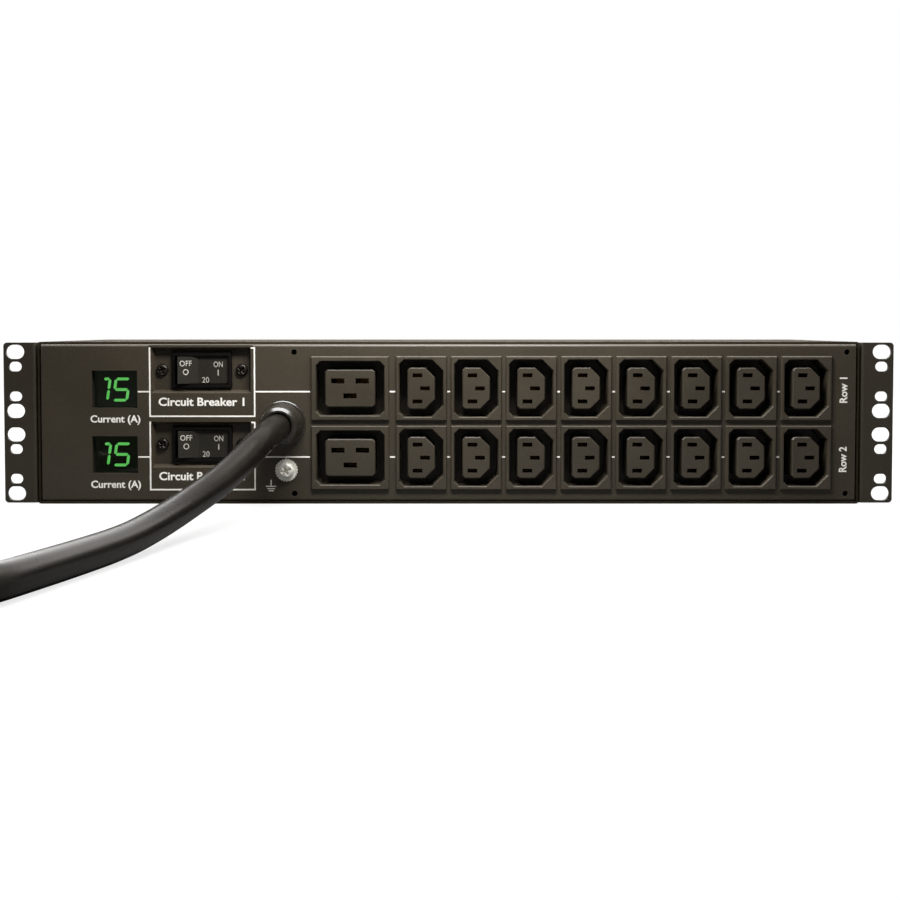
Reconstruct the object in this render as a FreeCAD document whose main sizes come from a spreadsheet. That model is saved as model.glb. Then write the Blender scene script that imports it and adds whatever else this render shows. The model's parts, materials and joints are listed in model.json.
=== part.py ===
"""Rack power distribution unit, two rack units high, with its lead.

X runs to the right along the front panel, Y runs from front to back and Z runs up. The origin is the
middle of the underside. Every piece is drawn from the front panel's outer face, where its own Y is
zero, and is then moved back by FACE. Lengths are millimetres and angles are degrees.
"""
import FreeCAD, Part
import math
import os
import Sketcher

Vector = FreeCAD.Vector

SIZES = (
    # Enclosure
    ("body_width", 440.5),
    ("body_depth", 140.0),
    ("body_height", 87.0),
    ("sheet", 1.2),
    ("bend", 0.4),
    ("panel_flange", 13.0),
    ("panel_end_gap", 0.9),
    ("corner_notch", 9.6),
    ("cover_setback", 1.0),
    ("cover_gap", 0.1),
    ("side_flange", 30.0),
    ("side_flange_end", 16.0),
    # Rack ears
    ("ear_width", 18.5),
    ("ear_margin", 0.4),
    ("ear_sheet", 2.0),
    ("ear_setback", 1.5),
    ("ear_leg", 48.0),
    ("ear_bend", 1.0),
    ("ear_corner", 2.0),
    ("slot_inset", 6.2),
    ("slot_end", 5.0),
    ("slot_inner_rows", 12.7),
    ("slot_length", 10.0),
    ("slot_width", 7.6),
    ("small_slot_end", 12.9),
    ("small_slot_inner_rows", 28.4),
    ("small_slot_length", 7.1),
    ("small_slot_width", 5.2),
    # Screws in the sides
    ("screw_head", 7.0),
    ("screw_head_height", 2.2),
    ("screw_shank", 3.8),
    ("screw_length", 8.0),
    ("screw_hole", 4.0),
    ("side_screw_z", 20.0),
    ("ear_screw_first", 21.0),
    ("ear_screw_pitch", 20.0),
    ("cover_screw_rear", 22.0),
    ("cover_screw_pitch", 34.0),
    # Outlets, both kinds
    ("row_gap", 2.6),
    ("row_end", 24.0),
    ("outlet_proud", 1.6),
    ("outlet_depth", 24.0),
    ("outlet_fit", 0.2),
    ("groove_depth", 16.0),
    ("core_sunk", 0.5),
    ("rim_chamfer", 0.5),
    ("slot_lip", 3.0),
    ("chamber_margin", 0.8),
    ("latch_rise", 0.9),
    ("latch_run", 5.0),
    ("latch_width", 8.0),
    ("latch_play", 0.1),
    # Small outlets
    ("small_first_x", 205.65),
    ("small_pitch", 29.44),
    ("small_flange_wide", 27.3),
    ("small_flange_tall", 34.6),
    ("small_body_wide", 25.0),
    ("small_body_tall", 32.4),
    ("small_open_wide", 23.2),
    ("small_open_tall", 30.4),
    ("small_open_cut", 5.9),
    ("small_open_corner", 2.4),
    ("small_core_wide", 14.7),
    ("small_core_tall", 22.2),
    ("small_core_cut", 5.2),
    ("small_core_corner", 1.3),
    ("small_pole_spread", 14.0),
    ("small_pole_x", -2.0),
    ("small_earth_x", 2.0),
    ("small_slot_wide", 5.2),
    ("small_slot_tall", 2.2),
    # Large outlets
    ("large_x", 167.55),
    ("large_flange_wide", 41.8),
    ("large_flange_tall", 34.4),
    ("large_body_wide", 38.6),
    ("large_body_tall", 30.6),
    ("large_open_wide", 36.3),
    ("large_open_tall", 28.8),
    ("large_open_corner", 2.4),
    ("large_core_wide", 26.7),
    ("large_core_tall", 20.0),
    ("large_core_corner", 1.3),
    ("large_pole_spread", 13.1),
    ("large_pole_z", 4.0),
    ("large_earth_z", -4.0),
    ("large_slot_wide", 7.1),
    ("large_slot_tall", 2.8),
    # Bus bars behind the outlets
    ("bus_sheet", 1.2),
    ("bus_bar", 4.0),
    ("leaf_sheet", 0.5),
    ("leaf_gap", 2.0),
    ("leaf_wide", 4.6),
    ("leaf_length", 12.0),
    # Meters
    ("meter_x", 41.25),
    ("meter_high", 24.2),
    ("meter_low", 25.2),
    ("meter_window_wide", 24.6),
    ("meter_window_tall", 20.2),
    ("meter_wall", 1.0),
    ("meter_rim_wide", 29.6),
    ("meter_rim_tall", 24.6),
    ("meter_bezel_depth", 12.0),
    ("meter_fit", 0.1),
    ("lens_sunk", 6.5),
    ("lens_sheet", 1.0),
    ("display_depth", 9.5),
    ("board_sheet", 1.6),
    ("board_wide", 30.0),
    ("board_margin", 8.1),
    ("spacer_diameter", 5.0),
    ("spacer_inset", 3.4),
    # Breakers in their drawn recesses
    ("breaker_x", 87.65),
    ("breaker_pitch", 40.0),
    ("breaker_high", 14.0),
    ("recess_wide", 53.5),
    ("recess_tall", 24.6),
    ("recess_depth", 4.0),
    ("recess_slope", 22.0),
    ("breaker_wide", 32.0),
    ("breaker_tall", 19.6),
    ("breaker_depth", 44.0),
    ("breaker_proud", 2.0),
    ("breaker_fit", 0.2),
    ("lug_reach", 25.0),
    ("lug_tall", 12.0),
    ("lug_sheet", 4.0),
    ("breaker_screw_spread", 42.8),
    ("breaker_screw_head", 6.5),
    ("breaker_screw_shank", 3.0),
    ("breaker_screw_hole", 3.2),
    ("breaker_screw_length", 5.0),
    ("well_wide", 28.8),
    ("well_tall", 15.2),
    ("well_depth", 10.0),
    ("pivot_depth", 4.5),
    ("pivot_diameter", 3.0),
    ("pivot_play", 0.05),
    ("pivot_length", 16.8),
    ("pivot_seat", 17.0),
    ("rocker_tall", 14.4),
    ("rocker_on_reach", 13.9),
    ("rocker_valley_x", -2.0),
    ("rocker_sunk", 1.3),
    ("rocker_off_reach", 12.4),
    ("rocker_off_proud", 2.5),
    ("rocker_skirt", 5.2),
    ("rocker_keel", 3.0),
    ("rocker_keel_wide", 10.0),
    ("terminal_spread", 14.0),
    ("terminal_wide", 6.3),
    ("terminal_sheet", 0.8),
    ("terminal_length", 8.0),
    # Cord gland
    ("gland_x", 131.75),
    ("gland_z", 43.5),
    ("gland_reach", 22.0),
    ("gland_flange", 24.0),
    ("gland_flange_height", 3.5),
    ("gland_thread", 20.0),
    ("gland_thread_length", 10.0),
    ("gland_fit", 0.2),
    ("gland_spigot", 17.2),
    ("gland_spigot_length", 5.0),
    ("gland_nut", 22.0),
    ("gland_nut_grip", 7.0),
    ("gland_lip", 19.0),
    ("gland_lip_round", 1.5),
    ("locknut_across", 26.0),
    ("locknut_height", 6.0),
    # Earth screw
    ("earth_x", 133.25),
    ("earth_z", 18.1),
    ("earth_shank", 4.8),
    ("earth_hole", 5.2),
    ("earth_length", 12.0),
    ("earth_head", 8.6),
    ("earth_head_height", 2.8),
    ("star_outer", 12.2),
    ("star_inner", 11.4),
    ("star_sheet", 0.8),
    ("star_teeth", 24),
    ("earth_nut_across", 8.0),
    ("earth_nut_height", 4.0),
    # Threaded holes for a cord bracket
    ("bracket_hole", 3.0),
    ("bracket_left", 137.55),
    ("bracket_right", 6.95),
    ("bracket_edge", 4.3),
    # Inside the enclosure
    ("block_x", 160.25),
    ("block_y", 74.0),
    ("block_wide", 46.0),
    ("block_deep", 22.0),
    ("block_tall", 18.0),
    ("block_rib", 2.0),
    ("block_rib_rise", 5.0),
    ("block_poles", 3),
    ("sensor_x", 122.25),
    ("sensor_rear", 20.0),
    ("sensor_pitch", 22.0),
    ("sensor_wide", 12.0),
    ("sensor_deep", 18.0),
    ("sensor_tall", 22.0),
    ("sensor_hole", 9.0),
    ("wire_diameter", 4.0),
    ("wire_bend", 13.0),
    ("wire_step", 6.0),
    ("core_spread", 4.0),
    ("core_drop", 4.4),
    ("core_lift", 2.0),
    # Lead, coil and plug
    ("cord_diameter", 14.0),
    ("cord_inside", 2.0),
    ("coil_x", -284.0),
    ("coil_front", 215.0),
    ("coil_inner", 63.0),
    ("coil_outer", 105.0),
    ("coil_crown", 14.0),
    ("coil_tall", 26.2),
    ("coil_edge", 5.0),
    ("tie_sheet", 1.2),
    ("tie_wide", 6.0),
    ("plug_diameter", 52.0),
    ("plug_length", 58.0),
    ("plug_neck", 20.0),
    ("plug_neck_length", 16.0),
    ("plug_neck_taper", 2.0),
    ("plug_shoulder", 8.0),
    ("plug_lip", 1.0),
    ("blade_circle", 26.0),
    ("blade_wide", 8.0),
    ("blade_sheet", 1.8),
    ("blade_length", 19.0),
)

doc = FreeCAD.newDocument("rack_power_unit")
sheet = doc.addObject("Spreadsheet::Sheet", "dims")
for row, (alias, size) in enumerate(SIZES, start=1):
    sheet.set(f"A{row}", alias)
    sheet.set(f"B{row}", str(size))
    sheet.setAlias(f"B{row}", alias)
doc.recompute()

# Places shared by several pieces, written as expressions of the sheet
FACE = "(dims.gland_reach - dims.body_depth) / 2"
PANEL_LOW = "dims.sheet"
PANEL_HIGH = "dims.body_height - dims.sheet"
PANEL_WIDE = "dims.body_width - 2 * dims.sheet - 2 * dims.panel_end_gap"
PAN_WIDE = "dims.body_width - 2 * dims.sheet - 2 * dims.cover_gap"
MIDDLE = "dims.body_height / 2"
LEFT = "(-dims.body_width / 2)"
METER_X, BREAKER_X, GLAND_X, EARTH_X, LARGE_X, SMALL_X, BLOCK_X, SENSOR_X = (
    f"({LEFT} + dims.{name}_x)"
    for name in ("meter", "breaker", "gland", "earth", "large", "small_first", "block", "sensor"))
SMALL_COUNT = "(floor((dims.body_width - dims.row_end - dims.small_first_x) / dims.small_pitch) + 1)"
ROW_PITCH = "(dims.small_flange_tall + dims.row_gap)"
ROWS = (f"{MIDDLE} + {ROW_PITCH} / 2", f"{MIDDLE} - {ROW_PITCH} / 2")
METERS = (f"{PANEL_HIGH} - dims.meter_high", f"{PANEL_LOW} + dims.meter_low")
METER_MIDDLE = f"({METERS[0]} + {METERS[1]}) / 2"
BOARD_TALL = f"({METERS[0]} - ({METERS[1]}) + dims.meter_rim_tall + 2 * dims.board_margin)"
BREAKERS = (f"{PANEL_HIGH} - dims.breaker_high", f"{PANEL_HIGH} - dims.breaker_high - dims.breaker_pitch")
BRACKETS_X = (f"{LEFT} + dims.bracket_left", "dims.body_width / 2 - dims.bracket_right")
BRACKETS_Z = (f"{PANEL_LOW} + dims.bracket_edge", f"{PANEL_HIGH} - dims.bracket_edge")
SENSORS_Y = ("dims.body_depth - dims.sensor_rear - dims.sensor_pitch", "dims.body_depth - dims.sensor_rear")
BEZEL_FRONT = "dims.recess_depth - dims.breaker_proud"
BREAKER_REAR = f"{BEZEL_FRONT} + dims.breaker_depth"
BOARD_FRONT = "dims.lens_sunk + dims.lens_sheet + dims.display_depth"
SIDE_OUT = "dims.body_width / 2"
BUS_REAR = "dims.outlet_depth + dims.bus_sheet"

nodes = {}


def value(expression):
    """The number that an expression of the sheet stands for."""
    return float(sheet.evalExpression(expression))


def keep(label, piece):
    """Files a finished piece under the name of its node."""
    piece.Label = label
    nodes[label] = piece
    return piece


def place(piece, x="0", y="0", z="0"):
    """Moves a piece to x and z, and to y behind the front panel's face."""
    for axis, expression in (("x", x), ("y", f"{FACE} + {y}"), ("z", z)):
        piece.setExpression(f"Placement.Base.{axis}", expression)
    return piece


def new_body(name):
    return doc.addObject("PartDesign::Body", name)


def new_sketch(body, role, offset="0"):
    """A sketch on one of the body's own planes, moved along that plane's normal."""
    sketch = body.newObject("Sketcher::SketchObject", f"{body.Name}_sketch")
    plane = [item for item in body.Origin.OriginFeatures if item.Role == role][0]
    sketch.AttachmentSupport = [(plane, "")]
    sketch.MapMode = "FlatFace"
    sketch.setExpression("AttachmentOffset.Base.z", offset)
    return sketch


def front_sketch(body, depth="0"):
    """A sketch seen from the front, at a depth behind the front panel's face."""
    return new_sketch(body, "XZ_Plane", f"-({depth})")


def fix(sketch, kind, *places):
    """Adds a constraint whose size is the last argument, an expression."""
    *elements, expression = places
    index = sketch.addConstraint(Sketcher.Constraint(kind, *elements, value(expression)))
    sketch.setExpression(f"Constraints[{index}]", expression)


def outline(sketch, points):
    """A closed outline of straight lines through points given as pairs of expressions."""
    first = sketch.GeometryCount
    count = len(points)
    corners = [Vector(value(x), value(y), 0) for x, y in points]
    for index in range(count):
        sketch.addGeometry(Part.LineSegment(corners[index], corners[(index + 1) % count]))
    for index, (x, y) in enumerate(points):
        follower = first + (index + 1) % count
        sketch.addConstraint(Sketcher.Constraint("Coincident", first + index, 2, follower, 1))
        fix(sketch, "DistanceX", -1, 1, first + index, 1, x)
        fix(sketch, "DistanceY", -1, 1, first + index, 1, y)


def oblong(sketch, x, y, wide, tall):
    """A rectangle about a middle point."""
    left, right = f"{x} - ({wide}) / 2", f"{x} + ({wide}) / 2"
    low, high = f"{y} - ({tall}) / 2", f"{y} + ({tall}) / 2"
    outline(sketch, [(left, low), (right, low), (right, high), (left, high)])


def cut_oblong(sketch, wide, tall, cut):
    """A rectangle about the origin whose two right-hand corners are cut off at 45 degrees."""
    left, right = f"-({wide}) / 2", f"({wide}) / 2"
    low, high = f"-({tall}) / 2", f"({tall}) / 2"
    inner, lower, upper = f"{right} - {cut}", f"{low} + {cut}", f"{high} - {cut}"
    outline(sketch, [(left, low), (inner, low), (right, lower), (right, upper), (inner, high), (left, high)])


def circle(sketch, x, y, diameter):
    index = sketch.GeometryCount
    middle = Vector(value(x), value(y), 0)
    sketch.addGeometry(Part.Circle(middle, Vector(0, 0, 1), value(diameter) / 2))
    fix(sketch, "DistanceX", -1, 1, index, 3, x)
    fix(sketch, "DistanceY", -1, 1, index, 3, y)
    fix(sketch, "Diameter", index, diameter)


def extrude(body, kind, sketch, length, back=False, taper=None):
    """A Pad or a Pocket of a sketch, the other way round where back is set."""
    feature = body.newObject(f"PartDesign::{kind}", f"{body.Name}_{kind}")
    feature.Profile = sketch
    feature.setExpression("Length", length)
    feature.Reversed = back
    if taper:
        feature.setExpression("TaperAngle", taper)
    return feature


def pad_back(body, sketch, length, taper=None):
    return extrude(body, "Pad", sketch, length, True, taper)


def pad_front(body, sketch, length):
    return extrude(body, "Pad", sketch, length)


def cut_back(body, sketch, length, taper=None):
    return extrude(body, "Pocket", sketch, length, False, taper)


def cut_front(body, sketch, length):
    return extrude(body, "Pocket", sketch, length, True)


def revolve(body, sketch):
    """A full turn of a sketch about its own vertical axis."""
    feature = body.newObject("PartDesign::Revolution", f"{body.Name}_turn")
    feature.Profile = sketch
    feature.ReferenceAxis = (sketch, ["V_Axis"])
    return feature


def repeat(body, feature, pitch, count):
    """Copies of a feature along the horizontal of its sketch."""
    row = body.newObject("PartDesign::LinearPattern", f"{body.Name}_row")
    row.Originals = [feature]
    row.Direction = (feature.Profile[0], ["H_Axis"])
    row.setExpression("Length", f"{pitch} * ({count} - 1)")
    row.setExpression("Occurrences", count)
    body.Tip = row
    return row


def ease(body, kind, wanted, size):
    """A Fillet or Chamfer on the edges that the test wanted picks."""
    doc.recompute()
    base = body.Tip
    edges = [f"Edge{index}" for index, edge in enumerate(base.Shape.Edges, start=1) if wanted(edge)]
    feature = body.newObject(f"PartDesign::{kind}", f"{body.Name}_{kind}")
    feature.Base = (base, edges)
    feature.setExpression("Radius" if kind == "Fillet" else "Size", size)
    body.Tip = feature
    return feature


def along(axis, *lines):
    """Picks edges along one axis that pass through the given pairs on the other two axes."""
    others = [name for name in "xyz" if name != axis]
    targets = [[value(expression) for expression in line] for line in lines]

    def wanted(edge):
        ends = [vertex.Point for vertex in edge.Vertexes]
        if len(ends) != 2 or edge.Curve.TypeId != "Part::GeomLine":
            return False
        for target in targets:
            gaps = [abs(getattr(end, name) - goal) for end in ends for name, goal in zip(others, target)]
            if max(gaps) < 0.01:
                return True
        return False
    return wanted


def on_plane(axis, position):
    """Picks edges that lie in a plane across one axis."""
    goal = value(position)

    def wanted(edge):
        return all(abs(getattr(vertex.Point, axis) - goal) < 0.01 for vertex in edge.Vertexes)
    return wanted


def copy_of(label, master):
    """A second piece of the same form as a body."""
    body = new_body(label)
    same = doc.addObject("PartDesign::FeatureBase", f"{label}_form")
    body.Group = [same]
    same.BaseFeature = master
    body.Tip = same
    return body


def group(label, pieces):
    """One node that holds several separate solids."""
    bundle = doc.addObject("Part::Compound", label)
    bundle.Links = pieces
    return keep(label, bundle)


# Front panel: a folded channel with drawn recesses and cut-outs
def make_front_panel():
    body = new_body("front_panel")
    flange, thick = "dims.panel_flange", "dims.sheet"
    inner_low, inner_high = f"{PANEL_LOW} + {thick}", f"{PANEL_HIGH} - {thick}"
    section = new_sketch(body, "YZ_Plane", f"-({PANEL_WIDE}) / 2")
    outline(section, [("0", PANEL_LOW), (flange, PANEL_LOW), (flange, inner_low), (thick, inner_low),
                      (thick, inner_high), (flange, inner_high), (flange, PANEL_HIGH), ("0", PANEL_HIGH)])
    pad_front(body, section, PANEL_WIDE)
    ease(body, "Fillet", along("x", ("0", PANEL_LOW), ("0", PANEL_HIGH)), f"dims.bend + {thick}")
    ease(body, "Fillet", along("x", (thick, inner_low), (thick, inner_high)), "dims.bend")
    notch = new_sketch(body, "XY_Plane", PANEL_HIGH)
    for side in ("-", ""):
        oblong(notch, f"{side}(({PANEL_WIDE}) / 2 - dims.corner_notch / 2)", f"({thick} + {flange}) / 2",
               "dims.corner_notch", f"{flange} - {thick}")
    cut_back(body, notch, f"{thick} + dims.bend")
    for z in BREAKERS:
        drawn = front_sketch(body)
        oblong(drawn, BREAKER_X, z, f"dims.recess_wide + 2 * {thick}", f"dims.recess_tall + 2 * {thick}")
        pad_back(body, drawn, f"dims.recess_depth + {thick}", "-dims.recess_slope")
    for z in BREAKERS:
        recess = front_sketch(body)
        oblong(recess, BREAKER_X, z, "dims.recess_wide", "dims.recess_tall")
        cut_back(body, recess, "dims.recess_depth", "-dims.recess_slope")
    windows = front_sketch(body)
    for z in BREAKERS:
        oblong(windows, BREAKER_X, z, "dims.breaker_wide + 2 * dims.breaker_fit",
               "dims.breaker_tall + 2 * dims.breaker_fit")
        for side in ("-", "+"):
            circle(windows, f"{BREAKER_X} {side} dims.breaker_screw_spread / 2", z, "dims.breaker_screw_hole")
    for z in METERS:
        oblong(windows, METER_X, z, "dims.meter_window_wide - 2 * dims.meter_fit",
               "dims.meter_window_tall - 2 * dims.meter_fit")
    for z in ROWS:
        oblong(windows, LARGE_X, z, "dims.large_body_wide + 2 * dims.outlet_fit",
               "dims.large_body_tall + 2 * dims.outlet_fit")
    circle(windows, GLAND_X, "dims.gland_z", "dims.gland_thread + 2 * dims.gland_fit")
    circle(windows, EARTH_X, "dims.earth_z", "dims.earth_hole")
    for x in BRACKETS_X:
        for z in BRACKETS_Z:
            circle(windows, x, z, "dims.bracket_hole")
    cut_back(body, windows, f"dims.recess_depth + 2 * {thick}")
    openings = front_sketch(body)
    for z in ROWS:
        oblong(openings, SMALL_X, z, "dims.small_body_wide + 2 * dims.outlet_fit",
               "dims.small_body_tall + 2 * dims.outlet_fit")
    first = cut_back(body, openings, f"2 * {thick}")
    repeat(body, first, "dims.small_pitch", SMALL_COUNT)
    return place(keep("front_panel", body))


# Base pan: floor, rear wall with a top flange, and two upright side flanges
def make_base_pan():
    body = new_body("base_pan")
    deep, thick, flange = "dims.body_depth", "dims.sheet", "dims.panel_flange"
    inner_deep, inner_high = f"{deep} - {thick}", f"{PANEL_HIGH} - {thick}"
    section = new_sketch(body, "YZ_Plane", f"-({PAN_WIDE}) / 2")
    outline(section, [("0", "0"), (deep, "0"), (deep, PANEL_HIGH), (f"{deep} - {flange}", PANEL_HIGH),
                      (f"{deep} - {flange}", inner_high), (inner_deep, inner_high), (inner_deep, thick),
                      ("0", thick)])
    pad_front(body, section, PAN_WIDE)
    ease(body, "Fillet", along("x", (deep, "0"), (deep, PANEL_HIGH)), f"dims.bend + {thick}")
    ease(body, "Fillet", along("x", (inner_deep, thick), (inner_deep, inner_high)), "dims.bend")
    for place_x in (f"-({PAN_WIDE}) / 2", f"({PAN_WIDE}) / 2 - {thick}"):
        side = new_sketch(body, "YZ_Plane", place_x)
        near, far = "dims.side_flange_end", f"{deep} - dims.side_flange_end"
        outline(side, [(near, "0"), (far, "0"), (far, "dims.side_flange"), (near, "dims.side_flange")])
        pad_front(body, side, thick)
    return place(keep("base_pan", body))


# Top cover: lid and both sides, folded from one sheet
def make_top_cover():
    body = new_body("top_cover")
    half, high, thick = SIDE_OUT, "dims.body_height", "dims.sheet"
    inner, under = f"{half} - {thick}", f"{high} - {thick}"
    section = front_sketch(body, "dims.cover_setback")
    outline(section, [(f"-({half})", "0"), (f"-({inner})", "0"), (f"-({inner})", under), (inner, under),
                      (inner, "0"), (half, "0"), (half, high), (f"-({half})", high)])
    pad_back(body, section, "dims.body_depth - dims.cover_setback")
    ease(body, "Fillet", along("y", (half, high), (f"-({half})", high)), f"dims.bend + {thick}")
    return place(keep("top_cover", body))


def side_screw_places():
    """Y places of the ear's screws and of the cover's own screws."""
    ear = [f"dims.ear_screw_first + {step} * dims.ear_screw_pitch" for step in range(2)]
    cover = [f"dims.body_depth - dims.cover_screw_rear - {step} * dims.cover_screw_pitch" for step in (1, 0)]
    return ear, cover


SIDE_LEVELS = ("dims.side_screw_z", "dims.body_height - dims.side_screw_z")


# Screw holes through the sides of the cover, the pan and the ears
def drill_sides(body, places, levels, length, start):
    holes = new_sketch(body, "YZ_Plane", start)
    for y in places:
        for z in levels:
            circle(holes, y, z, "dims.screw_hole")
    cut_front(body, holes, length)


# Rack ears: angle brackets with a rounded fold and eight slots each
def make_rack_ears():
    body = new_body("rack_ear_left")
    thick, near = "dims.ear_sheet", "dims.ear_setback"
    inner, tip = f"-{SIDE_OUT}", f"-{SIDE_OUT} - dims.ear_width"
    low, top = "dims.ear_margin", "dims.body_height - dims.ear_margin"
    section = new_sketch(body, "XY_Plane", low)
    outer, back, end = f"{inner} - {thick}", f"{near} + {thick}", f"{near} + dims.ear_leg"
    outline(section, [(tip, near), (inner, near), (inner, end), (outer, end), (outer, back), (tip, back)])
    pad_front(body, section, f"{top} - {low}")
    ease(body, "Fillet", along("z", (inner, near)), f"dims.ear_bend + {thick}")
    ease(body, "Fillet", along("z", (outer, back)), "dims.ear_bend")
    ease(body, "Fillet", along("y", (tip, low), (tip, top)), "dims.ear_corner")
    column = f"{tip} + dims.slot_inset"
    half = f"({MIDDLE} - {low})"
    flats, ends = front_sketch(body, near), front_sketch(body, near)
    far_ends = front_sketch(body, near)
    for kind in ("slot", "small_slot"):
        straight = f"dims.{kind}_length - dims.{kind}_width"
        rows = (f"({half} - dims.{kind}_end)", f"dims.{kind}_inner_rows / 2")
        for z in (f"{MIDDLE} {side} {row}" for row in rows for side in ("-", "+")):
            oblong(flats, column, z, straight, f"dims.{kind}_width")
            circle(ends, f"{column} - ({straight}) / 2", z, f"dims.{kind}_width")
            circle(far_ends, f"{column} + ({straight}) / 2", z, f"dims.{kind}_width")
    for part in (flats, ends, far_ends):
        cut_back(body, part, f"2 * {thick}")
    drill_sides(body, side_screw_places()[0], SIDE_LEVELS, f"2 * {thick}", f"{inner} - 1.5 * {thick}")
    place(keep("rack_ear_left", body))
    other = copy_of("rack_ear_right", body)
    other.Placement = FreeCAD.Placement(Vector(), FreeCAD.Rotation(Vector(0, 1, 0), 180))
    return place(keep("rack_ear_right", other), z="dims.body_height")


def pan_head(name, head, height, shank, length):
    """A round-headed screw along its own Y, with the underside of its head at zero."""
    body = new_body(name)
    turn = new_sketch(body, "XY_Plane")
    rim, core = f"dims.{head} / 2", f"dims.{shank} / 2"
    top = f"-dims.{height}"
    outline(turn, [("0", top), (f"{rim} * 0.7", top), (rim, f"{top} * 0.45"), (rim, "0"), (core, "0"),
                   (core, f"dims.{length}"), ("0", f"dims.{length}")])
    revolve(body, turn)
    return body


# Side screws: four through each ear and two through each side of the cover
def make_side_screws():
    form = pan_head("side_screw_form", "screw_head", "screw_head_height", "screw_shank", "screw_length")
    ear_places, cover_places = side_screw_places()
    sets = (("ear_screws", ear_places, SIDE_LEVELS, "dims.ear_sheet"),
            ("cover_screws", cover_places, SIDE_LEVELS[:1], "0"))
    for label, places, levels, lift in sets:
        screws = []
        for side, turn in (("-", -90), ("", 90)):
            for y, z in ((y, z) for y in places for z in levels):
                screw = copy_of(f"{label}_one", form)
                screw.Placement = FreeCAD.Placement(Vector(), FreeCAD.Rotation(Vector(0, 0, 1), turn))
                screws.append(place(screw, f"{side}({SIDE_OUT} + {lift})", y, z))
        group(label, screws)


def make_outlet(label, kind, poles, eased, cut):
    """One outlet: flange, snap-in body, groove for the connector's skirt, and a core with three slots."""
    body = new_body(label)
    wide, tall = f"dims.{kind}_open_wide", f"dims.{kind}_open_tall"
    core_wide, core_tall = f"dims.{kind}_core_wide", f"dims.{kind}_core_tall"
    flange = front_sketch(body)
    oblong(flange, "0", "0", f"dims.{kind}_flange_wide", f"dims.{kind}_flange_tall")
    pad_front(body, flange, "dims.outlet_proud")
    barrel = front_sketch(body)
    oblong(barrel, "0", "0", f"dims.{kind}_body_wide", f"dims.{kind}_body_tall")
    pad_back(body, barrel, "dims.outlet_depth")
    latches = new_sketch(body, "YZ_Plane", "-dims.latch_width / 2")
    root = "dims.sheet + dims.latch_play"
    for side in ("-", ""):
        foot = f"{side}dims.{kind}_body_tall / 2"
        peak = f"{side}(dims.{kind}_body_tall / 2 + dims.latch_rise)"
        outline(latches, [(root, foot), (root, peak), (f"{root} + dims.latch_run", foot)])
    pad_front(body, latches, "dims.latch_width")
    groove = front_sketch(body, "-dims.outlet_proud")
    core = front_sketch(body, "dims.groove_depth")
    if cut:
        cut_oblong(groove, wide, tall, f"dims.{kind}_open_cut")
        cut_oblong(core, core_wide, core_tall, f"dims.{kind}_core_cut")
    else:
        oblong(groove, "0", "0", wide, tall)
        oblong(core, "0", "0", core_wide, core_tall)
    cut_back(body, groove, "dims.outlet_proud + dims.groove_depth")
    pad_front(body, core, "dims.groove_depth + dims.outlet_proud - dims.core_sunk")
    bevels = ((wide, tall, f"{kind}_open_corner"), (core_wide, core_tall, f"{kind}_core_corner"))
    for width, height, corner in bevels:
        corners = [(f"{x}({width}) / 2", f"{z}({height}) / 2") for x in eased for z in ("-", "")]
        ease(body, "Chamfer", along("y", *corners), f"dims.{corner}")
    front = "-(dims.outlet_proud - dims.core_sunk)"
    ease(body, "Chamfer", on_plane("y", "-dims.outlet_proud"), "dims.rim_chamfer")
    ease(body, "Chamfer", on_plane("y", front), "dims.rim_chamfer")
    slots, chambers = front_sketch(body, front), front_sketch(body, "dims.outlet_depth")
    slot_wide, slot_tall = f"dims.{kind}_slot_wide", f"dims.{kind}_slot_tall"
    for x, z in poles:
        oblong(slots, x, z, slot_wide, slot_tall)
        oblong(chambers, x, z, f"{slot_wide} + dims.chamber_margin", f"{slot_tall} + 2 * dims.chamber_margin")
    cut_back(body, slots, "dims.slot_lip")
    cut_front(body, chambers, f"dims.outlet_depth - ({front}) - dims.slot_lip")
    return keep(label, body)


SMALL_POLES = (("dims.small_pole_x", "dims.small_pole_spread / 2"),
               ("dims.small_pole_x", "-dims.small_pole_spread / 2"), ("dims.small_earth_x", "0"))
LARGE_POLES = (("dims.large_pole_spread / 2", "dims.large_pole_z"),
               ("-dims.large_pole_spread / 2", "dims.large_pole_z"), ("0", "dims.large_earth_z"))


# Outlets: two rows of small ones with a large one at the left end of each
def make_outlets():
    small = make_outlet("bank_1_outlet_1", "small", SMALL_POLES, ("-",), True)
    large = make_outlet("bank_1_large_outlet", "large", LARGE_POLES, ("-", ""), False)
    for bank, z in enumerate(ROWS, start=1):
        piece = large
        if bank > 1:
            piece = keep(f"bank_{bank}_large_outlet", copy_of(f"bank_{bank}_large_outlet", large))
        place(piece, LARGE_X, "0", z)
        for step in range(int(value(SMALL_COUNT))):
            label = f"bank_{bank}_outlet_{step + 1}"
            piece = nodes.get(label) or keep(label, copy_of(label, small))
            place(piece, f"{SMALL_X} + {step} * dims.small_pitch", "0", z)


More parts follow.
